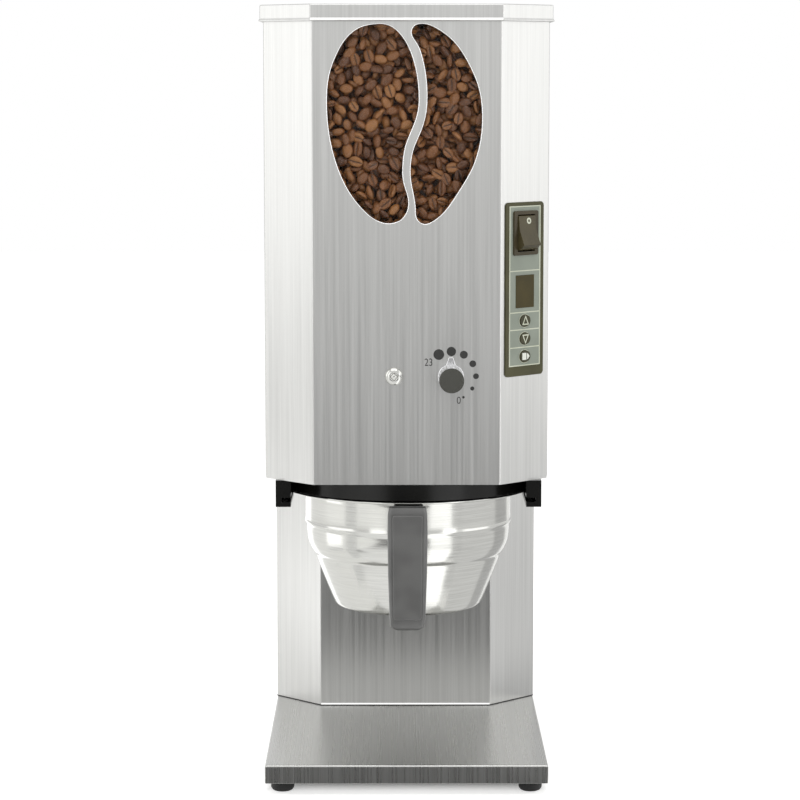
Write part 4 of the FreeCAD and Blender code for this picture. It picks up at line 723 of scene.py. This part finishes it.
housing_skin()
edged("lid", "lid_skin", 0.9, 3)
lid_hem()
column_foot()
screw_domed()
edged("base_plate", "base_skin", 0.4)
edged("column_shell", "column_skin", 0.35)
edged("basket_guide", "guide_moulding", 0.7, 3)
edged("control_fascia", "fascia_moulding", 0.35)
edged("switch_body", "switch_bezel", 0.35)
edged("switch_rocker", "rocker_moulding", 0.5, 3)
edged("knob_pointer", "pointer_plate", 0.5)
edged("grind_knob", "knob_turned", 0.25)
edged("rear_cover", "rear_cover_skin", 0.2)


# Beans

bean_long, bean_wide, bean_thick = 5.1, 3.7, 2.7
bean_around, bean_along = 12, 7


def single_bean():
    """Half an egg with a crease along its flat side, as a mesh with few faces."""
    bm = bmesh.new()
    bmesh.ops.create_uvsphere(bm, u_segments=bean_around, v_segments=bean_along, radius=1.0)
    bmesh.ops.rotate(bm, verts=bm.verts, cent=(0, 0, 0), matrix=Matrix.Rotation(math.pi / 2, 3, "Y"))
    crease = set()
    for v in bm.verts:
        x, y, z = v.co
        ends = max(0.0, 1 - x * x)
        if z < -0.1:
            z = -0.42 * math.sqrt(ends) * (0.75 + 0.25 * abs(y))
            if abs(y) < 0.05:
                z = 0.12 * ends
                crease.add(v.index)
            elif abs(y) < 0.55:
                y *= 0.42
                z -= 0.05
        v.co = (x * bean_long * mm, y * bean_wide * mm, z * bean_thick * mm)
    bmesh.ops.recalc_face_normals(bm, faces=bm.faces)
    return to_mesh(bm, "bean"), crease


bean, bean_crease_shade = single_bean()


def poured(name, spots, seed):
    """Beans at (place, turn) spots, each a little larger or smaller and lighter or darker."""
    rng = random.Random(seed)
    bm = bmesh.new()
    tone = bm.verts.layers.float.new("bean_tone")
    crease = bm.verts.layers.float.new("bean_crease_shade")
    for place, turn in spots:
        first = len(bm.verts)
        bm.from_mesh(bean)
        bm.verts.ensure_lookup_table()
        fresh = bm.verts[first:]
        shade = rng.random()
        size = rng.uniform(0.86, 1.10)
        for i, v in enumerate(fresh):
            v[tone] = shade
            v[crease] = 1.0 if i in bean_crease_shade else 0.0
        matrix = Matrix.Translation(place) @ turn.to_matrix().to_4x4() @ Matrix.Scale(size, 4)
        bmesh.ops.transform(bm, matrix=matrix, verts=fresh)
    return finished(name, to_mesh(bm, name), "housing", coffee_skin)


def scattered(rng, low, high, inside, spacing, tries):
    """Points in a rectangle, none closer than the spacing."""
    grid = {}
    points = []
    for _ in range(tries):
        p = (rng.uniform(low[0], high[0]), rng.uniform(low[1], high[1]))
        if not inside(p):
            continue
        key = (int(p[0] // spacing), int(p[1] // spacing))
        near = [q for i in (-1, 0, 1) for j in (-1, 0, 1)
                for q in grid.get((key[0] + i, key[1] + j), ())]
        if all((p[0] - q[0]) ** 2 + (p[1] - q[1]) ** 2 >= spacing ** 2 for q in near):
            grid.setdefault(key, []).append(p)
            points.append(p)
    return points


window_z = 483.3
pane_back = -175.4
window_half, window_tall = 56.5, 72.0
hopper_bean_top = 556.0
mouth_slant = 229.0
mouth_half, mouth_front, mouth_rear = 90.0, -160.0, 8.0
# Each layer's depth behind the pane, or under the top of the heap, and its spacing
window_layers = ((3.4, 6.6), (7.4, 6.3), (11.8, 6.3))
top_layers = ((4.6, 6.6), (8.6, 6.9))


def window_beans():
    """Three loose layers pressed against the pane."""
    rng = random.Random(23)
    spots = []
    for deep, spacing in window_layers:
        points = scattered(rng, (-window_half, window_z - window_tall),
                           (window_half, min(window_z + window_tall, hopper_bean_top - 4.0)),
                           lambda p: True, spacing, 9000)
        for x, z in points:
            y = pane_back + deep + rng.uniform(-0.4, 1.6)
            lean = rng.gauss(0, 0.30)
            roll = rng.choice((math.pi / 2, -math.pi / 2, math.pi / 2)) + rng.gauss(0, 0.75)
            turn = (Euler((0, rng.uniform(0, 2 * math.pi), 0)).to_matrix()
                    @ Euler((0, 0, lean)).to_matrix() @ Euler((roll, 0, 0)).to_matrix())
            spots.append((Vector((x, y, z)) * mm, turn.to_quaternion()))
    return poured("window_beans", spots, 5)


def in_mouth(p):
    """Inside the hopper's mouth, which has cut front corners."""
    x, y = p
    return abs(x) < mouth_half and mouth_front < y < mouth_rear and abs(x) - y < mouth_slant


def top_beans():
    """The heap as seen with the lid off: two loose layers."""
    rng = random.Random(57)
    spots = []
    for drop, spacing in top_layers:
        for x, y in scattered(rng, (-92.0, -162.0), (92.0, 9.0), in_mouth, spacing, 12000):
            z = hopper_bean_top - drop - rng.uniform(0, 1.6)
            roll = rng.choice((0.0, math.pi)) + rng.gauss(0, 0.8)
            turn = (Euler((0, 0, rng.uniform(0, 2 * math.pi))).to_matrix()
                    @ Euler((0, rng.gauss(0, 0.3), 0)).to_matrix() @ Euler((roll, 0, 0)).to_matrix())
            spots.append((Vector((x, y, z)) * mm, turn.to_quaternion()))
    return poured("hopper_beans", spots, 9)


window_piece = window_beans()
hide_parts("coffee_beans")
top_piece = top_beans()
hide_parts("coffee_beans")


def bean_bulk():
    """The fill behind the loose layers, so that no gap between beans shows through."""
    bm = bmesh.new()
    sections = [(546.0, 90.0, -161.0, 8.0), (478.0, 90.0, -161.0, 8.0), (445.0, 56.0, -161.0, -16.0),
                (412.0, 56.0, -161.0, -16.0)]
    rings = []
    for z, half, front, rear in sections:
        corners = [(half - 24, front), (half, front + 24), (half, rear), (-half, rear),
                   (-half, front + 24), (24 - half, front)]
        rings.append([bm.verts.new(Vector((x, y, z)) * mm) for x, y in corners])
    for upper, lower in zip(rings, rings[1:]):
        for i in range(len(upper)):
            j = (i + 1) % len(upper)
            bm.faces.new((upper[i], upper[j], lower[j], lower[i]))
    bm.faces.new(rings[0])
    bm.faces.new(list(reversed(rings[-1])))
    bmesh.ops.recalc_face_normals(bm, faces=bm.faces)
    piece = finished("bean_fill", to_mesh(bm, "bean_fill"), "housing", coffee_skin, False)
    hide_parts("coffee_beans")


bean_bulk()


# Basket: spun steel bowl with a flat rim, a cylindrical band and two rolled steps

basket_x, basket_y = 1.5, -85.0
bowl_turns = 96
bowl_profile = [
    (75.6, 213.2), (88.9, 213.4), (89.9, 213.1), (90.4, 212.2), (89.9, 211.3), (88.9, 211.0),
    (78.2, 211.0), (76.9, 210.4), (76.8, 209.0), (76.8, 190.2), (76.95, 188.9), (77.3, 187.9),
    (77.2, 187.0), (76.5, 185.8), (75.95, 184.6), (75.9, 182.8), (75.4, 175.5), (74.6, 171.8),
    (73.5, 169.0), (72.3, 166.5), (71.4, 164.9), (70.7, 164.1), (69.6, 163.0), (69.1, 162.0),
    (68.6, 160.0), (67.4, 155.6),
    (55.6, 126.6), (54.6, 124.8), (52.6, 123.2), (50.0, 122.5), (40.0, 122.4), (5.0, 122.4),
    (4.6, 122.8), (4.6, 123.1), (5.0, 123.5), (40.0, 123.5), (49.8, 123.7), (51.8, 124.4),
    (53.6, 125.9), (54.5, 127.4), (66.3, 156.0), (67.6, 159.2), (68.2, 161.2), (69.1, 163.3),
    (70.3, 165.3), (72.4, 169.4), (73.5, 172.2), (74.3, 175.7), (74.8, 182.8), (74.8, 184.8),
    (75.4, 186.2), (76.0, 187.2), (75.9, 188.8), (75.7, 190.2), (75.7, 209.6),
]


def spun(name, profile, x, y, turns, body, material):
    """Spins a closed outline of radius and height once round an upright axis."""
    bm = bmesh.new()
    ring = [bm.verts.new((r * mm, 0, z * mm)) for r, z in profile]
    edges = [bm.edges.new((a, b)) for a, b in zip(ring, ring[1:] + ring[:1])]
    bmesh.ops.spin(bm, geom=ring + edges, cent=(0, 0, 0), axis=(0, 0, 1), dvec=(0, 0, 0),
                   angle=2 * math.pi, steps=turns, use_merge=True)
    bmesh.ops.remove_doubles(bm, verts=bm.verts, dist=0.001 * mm)
    bmesh.ops.recalc_face_normals(bm, faces=bm.faces)
    place_all(bm, Matrix.Translation((x * mm, y * mm, 0)))
    piece = finished(name, to_mesh(bm, name), body, material)
    rounding = piece.modifiers.new("smooth", "SUBSURF")
    rounding.levels = 1
    rounding.render_levels = 1
    return piece


bowl = spun("basket_bowl", bowl_profile, basket_x, basket_y, bowl_turns, "basket",
            drawn_stainless)
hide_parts("filter_basket")


grip_end_mm, grip_end_levels = 5.0, 6
# How much of that round also draws in the grip's thickness
grip_end_thin = 0.5


def basket_grip():
    """The grip and its bracket; the grip's lower end is drawn in along an arc."""
    bm = merged("basket_handle")
    low = min(v.co.z for v in bm.verts)
    radius = grip_end_mm * mm
    lowest = [v.co.copy() for v in bm.verts if v.co.z < low + 0.01 * mm]
    middle = [(min(p[i] for p in lowest) + max(p[i] for p in lowest)) / 2 for i in (0, 1)]
    half = [(max(p[i] for p in lowest) - min(p[i] for p in lowest)) / 2 for i in (0, 1)]
    for level in range(1, grip_end_levels + 1):
        angle = math.pi / 2 * level / grip_end_levels
        bmesh.ops.bisect_plane(bm, geom=bm.verts[:] + bm.edges[:] + bm.faces[:], dist=0.001 * mm,
                               plane_co=(0, 0, low + radius * (1 - math.cos(angle))),
                               plane_no=(0, 0, 1))
    for v in bm.verts:
        height = v.co.z - low
        if height < radius:
            inset = radius * (1 - math.sin(math.acos(1 - height / radius)))
            for i, share in ((0, 1.0), (1, grip_end_thin)):
                v.co[i] = middle[i] + (v.co[i] - middle[i]) * (1 - share * inset / half[i])
    edged("basket_handle", "basket_grip", 1.0, 4, bm=bm)


basket_grip()


def rounded(corners, radius, steps=6):
    """An outline with its corners, given counter-clockwise, turned into arcs."""
    points = []
    count = len(corners)
    for i in range(count):
        p = Vector(corners[i])
        before = (p - Vector(corners[i - 1])).normalized()
        after = (Vector(corners[(i + 1) % count]) - p).normalized()
        start, end = p - before * radius, p + after * radius
        for k in range(steps + 1):
            t = k / steps
            points.append(tuple(start * (1 - t) ** 2 + p * (2 * t * (1 - t)) + end * t ** 2))
    return points


grip_x = 0.6
grip_face_mm = 19.8
grip_face_low, grip_face_high = 131.8, 207.4


def grip_face():
    """The raised flat on the front of the grip, where the hand's thumb rests."""
    bm = bmesh.new()
    corners = [(grip_x - 10.0, grip_face_low), (grip_x + 10.0, grip_face_low),
               (grip_x + 10.9, grip_face_high), (grip_x - 10.9, grip_face_high)]
    plate(bm, rounded(corners, 2.4), grip_face_mm - 1.4, grip_face_mm + 0.8)
    top = [e for e in bm.edges if all(v.co.z > grip_face_mm * mm for v in e.verts)]
    round_over(bm, top, 0.8, 3)
    bmesh.ops.recalc_face_normals(bm, faces=bm.faces)
    place_all(bm, front_plane)
    piece = finished("grip_face", to_mesh(bm, "grip_face"), "basket", grip_thermoset)
    flat = piece.modifiers.new("flat", "WEIGHTED_NORMAL")
    flat.weight = 80


grip_face()


# Stage: a pale floor that shows white where no shadow falls, softboxes and a white surround

floor_seen, floor_mirrored = 0.62, 0.50


def white_rays(tree, path):
    """1 for a ray from the camera, by gloss or through glass, which sees white; else 0."""
    seen = add(tree, "ShaderNodeMath", {0: path.outputs["Is Camera Ray"],
                                        1: path.outputs["Is Glossy Ray"]}, operation="MAXIMUM")
    return add(tree, "ShaderNodeMath", {0: seen.outputs[0], 1: path.outputs["Is Transmission Ray"]},
               operation="MAXIMUM").outputs[0]


def white_floor():
    """Matt white with a glow, which stops under the tray so that its shadow shows."""
    material, tree = new_material("studio_floor")
    place = add(tree, "ShaderNodeTexCoord").outputs["Object"]
    mottle = add(tree, "ShaderNodeTexNoise", {"Vector": place}, {"Scale": 3.0}).outputs[0]
    shade = add(tree, "ShaderNodeValToRGB", {"Fac": mottle}, stops=[(0.3, "#F0F0EE"), (0.7, "#F4F4F2")])
    matt = add(tree, "ShaderNodeBsdfDiffuse", {"Color": shade.outputs["Color"]})
    path = add(tree, "ShaderNodeLightPath")
    level = add(tree, "ShaderNodeMath", {0: path.outputs["Is Camera Ray"]},
                {1: floor_seen - floor_mirrored, 2: floor_mirrored}, operation="MULTIPLY_ADD")
    apart = add(tree, "ShaderNodeSeparateXYZ", {"Vector": place})
    aside = add(tree, "ShaderNodeMath", {0: apart.outputs["X"]}, operation="ABSOLUTE")
    beside = add(tree, "ShaderNodeMapRange", {"Value": aside.outputs[0]},
                 {"From Min": 0.088, "From Max": 0.104, "To Min": 0.0, "To Max": 1.0})
    ahead = add(tree, "ShaderNodeMapRange", {"Value": apart.outputs["Y"]},
                {"From Min": -0.170, "From Max": -0.144, "To Min": 1.0, "To Max": 0.0})
    clear = add(tree, "ShaderNodeMath", {0: beside.outputs[0], 1: ahead.outputs[0]},
                operation="MAXIMUM")
    lit = add(tree, "ShaderNodeMath", {0: level.outputs[0], 1: clear.outputs[0]},
              operation="MULTIPLY")
    glow = add(tree, "ShaderNodeEmission", {"Strength": lit.outputs[0]}, {"Color": linear("#FFFFFF")})
    seen = white_rays(tree, path)
    both = add(tree, "ShaderNodeAddShader", {0: matt.outputs[0], 1: glow.outputs[0]})
    mixed = add(tree, "ShaderNodeMixShader", {0: seen, 1: matt.outputs[0], 2: both.outputs[0]})
    add(tree, "ShaderNodeOutputMaterial", {"Surface": mixed.outputs[0]})
    return material


def stage_floor():
    bm = bmesh.new()
    bmesh.ops.create_grid(bm, x_segments=1, y_segments=1, size=6.0)
    mesh = to_mesh(bm, "studio_floor")
    floor = bpy.data.objects.new("studio_floor", mesh)
    scene.collection.objects.link(floor)
    mesh.materials.append(white_floor())


def surround(diffuse_strength):
    """White for the camera, gloss and glass; softer as a light on matt surfaces."""
    world = bpy.data.worlds.new("studio")
    world.use_nodes = True
    tree = world.node_tree
    tree.nodes.clear()
    path = add(tree, "ShaderNodeLightPath")
    seen = white_rays(tree, path)
    soft, white = (add(tree, "ShaderNodeBackground", None,
                       {"Color": linear("#FFFFFF"), "Strength": strength}).outputs[0]
                   for strength in (diffuse_strength, 1.0))
    mixed = add(tree, "ShaderNodeMixShader", {0: seen, 1: soft, 2: white})
    add(tree, "ShaderNodeOutputWorld", {"Surface": mixed.outputs[0]})
    scene.world = world


def softbox(name, place, target, wide, tall, radiance):
    """A soft lamp of the given radiance, aimed at a point."""
    lamp = bpy.data.lights.new(name, "AREA")
    lamp.shape = "RECTANGLE"
    lamp.size = wide
    lamp.size_y = tall
    lamp.energy = radiance * math.pi * wide * tall
    holder = bpy.data.objects.new(name, lamp)
    scene.collection.objects.link(holder)
    holder.location = place
    holder.rotation_euler = (Vector(target) - Vector(place)).to_track_quat("-Z", "Y").to_euler()
    holder.visible_camera = False


# Cosines between which a floor card turns from its value for a low ray to that for a high one
glancing, steeper = (0.28, 0.42), (0.40, 0.62)
steep_radiance = 1.25
card_half, card_far, card_top = 0.36, -1.2, 1.5
# Heights at which the cards lie over the floor, so that none lies in another
card_lift, sector_lift = 0.002, 0.003


def over_floor(tree):
    """Height of the shaded point over the floor."""
    place = add(tree, "ShaderNodeTexCoord").outputs["Object"]
    return add(tree, "ShaderNodeSeparateXYZ", {"Vector": place}).outputs["Z"]


def ray_slope(tree):
    """How far the ray that meets a card drops; below zero for one that climbs.

    Only the stage's cards read the ray. No material of the grinder does.
    """
    ray = add(tree, "ShaderNodeNewGeometry").outputs["Incoming"]
    return add(tree, "ShaderNodeSeparateXYZ", {"Vector": ray}).outputs["Z"]


def steepness(tree):
    """Cosine between the ray and the upright: small for a ray that grazes the floor."""
    return add(tree, "ShaderNodeMath", {0: ray_slope(tree)}, operation="ABSOLUTE").outputs[0]


def flag(name, corners, measure, start, stop, low_radiance, high_radiance, rising=None):
    """A card that only gloss sees, as the studio's cards stood round the steel.

    Rising is the radiance for a ray that climbs, as one does that the tray has thrown up.
    """
    material, tree = new_material(name)
    shade = add(tree, "ShaderNodeMapRange", {"Value": measure(tree)},
                {"From Min": start, "From Max": stop, "To Min": low_radiance, "To Max": high_radiance})
    strength = shade.outputs[0]
    if rising is not None:
        climbs = add(tree, "ShaderNodeMath", {0: ray_slope(tree)}, {1: 0.0},
                     operation="LESS_THAN").outputs[0]
        strength = add(tree, "ShaderNodeMix", {0: climbs, 2: strength}, {3: rising}).outputs[0]
    glow = add(tree, "ShaderNodeEmission", {"Strength": strength})
    add(tree, "ShaderNodeOutputMaterial", {"Surface": glow.outputs[0]})
    bm = bmesh.new()
    bm.faces.new([bm.verts.new(c) for c in corners])
    mesh = to_mesh(bm, name)
    mesh.materials.append(material)
    card = bpy.data.objects.new(name, mesh)
    scene.collection.objects.link(card)
    card.visible_camera = False
    card.visible_diffuse = False
    card.visible_transmission = False
    card.visible_shadow = False


def sector(name, from_degrees, to_degrees, near, far, radiance, grazing=None, slant=glancing):
    """A card on the floor between two directions from the basket; 0 degrees is straight ahead."""
    corners = []
    for angle, reach in ((from_degrees, near), (from_degrees, far),
                         (to_degrees, far), (to_degrees, near)):
        turn = math.radians(angle)
        corners.append((basket_x * mm + reach * math.sin(turn),
                        basket_y * mm - reach * math.cos(turn), sector_lift))
    flag(name, corners, steepness, *slant, radiance if grazing is None else grazing, radiance)


def floor_flag(name, near, far, radiance, slant):
    """A floor card ahead: grey for a ray that grazes it, pale for a steep one."""
    corners = [(-card_half, far, card_lift), (card_half, far, card_lift),
               (card_half, near, card_lift), (-card_half, near, card_lift)]
    flag(name, corners, steepness, *slant, radiance, steep_radiance)


stage_floor()
surround(0.55)
middle = (0.0, -0.05, 0.35)
softbox("softbox_left", (-1.6, -0.35, 0.95), middle, 1.2, 1.6, 1.02)
softbox("softbox_right", (1.6, -0.35, 0.95), middle, 1.2, 1.6, 0.94)
softbox("softbox_top", (0.0, -0.9, 2.1), middle, 1.6, 1.2, 1.6)
softbox("softbox_front_right", (1.35, -1.40, 0.60), middle, 0.50, 1.1, 1.6)
softbox("softbox_front_left", (-0.95, -1.55, 0.60), middle, 0.55, 1.1, 1.1)
flag("flag_upright", [(-card_half, card_far, 0.0), (card_half, card_far, 0.0),
                      (card_half, card_far, card_top), (-card_half, card_far, card_top)],
     over_floor, 0.0, 0.60, 0.17, 1.03, rising=1.15)
flag("flag_right_back", [(0.05, 1.2, 0.0), (0.7, 1.2, 0.0), (0.7, 1.2, 0.8), (0.05, 1.2, 0.8)],
     over_floor, 0.0, 1.0, 0.70, 0.70)
floor_flag("flag_floor_near", -0.187, -0.32, 0.05, steeper)
floor_flag("flag_floor_far", -0.32, card_far, 0.13, glancing)
sector("sector_strip_foot", 23, 48, 0.15, 0.26, 2.1, grazing=0.05, slant=steeper)
sector("sector_strip_near", 23, 48, 0.26, 0.55, 2.1, grazing=0.13)
sector("sector_strip_far", 23, 48, 0.55, 2.2, 1.9)
sector("sector_strip_side_near", 48, 60, 0.18, 0.50, 0.85, grazing=0.05)
sector("sector_strip_side_far", 48, 60, 0.50, 2.2, 0.85)
sector("sector_right_near", 60, 78, 0.10, 0.50, 0.93, grazing=0.10)
sector("sector_right_side", 78, 112, 0.10, 0.50, 0.93, grazing=1.12)
sector("sector_right_far", 60, 112, 0.50, 2.2, 0.93)
sector("sector_right_back", 112, 142, 0.10, 2.2, 0.62)
sector("sector_left_band", -72, -58, 0.20, 2.2, 1.00)
sector("sector_left", -102, -78, 0.34, 1.0, 1.05, grazing=2.25)
sector("sector_left_back", -178, -137, 0.10, 2.2, 1.9)
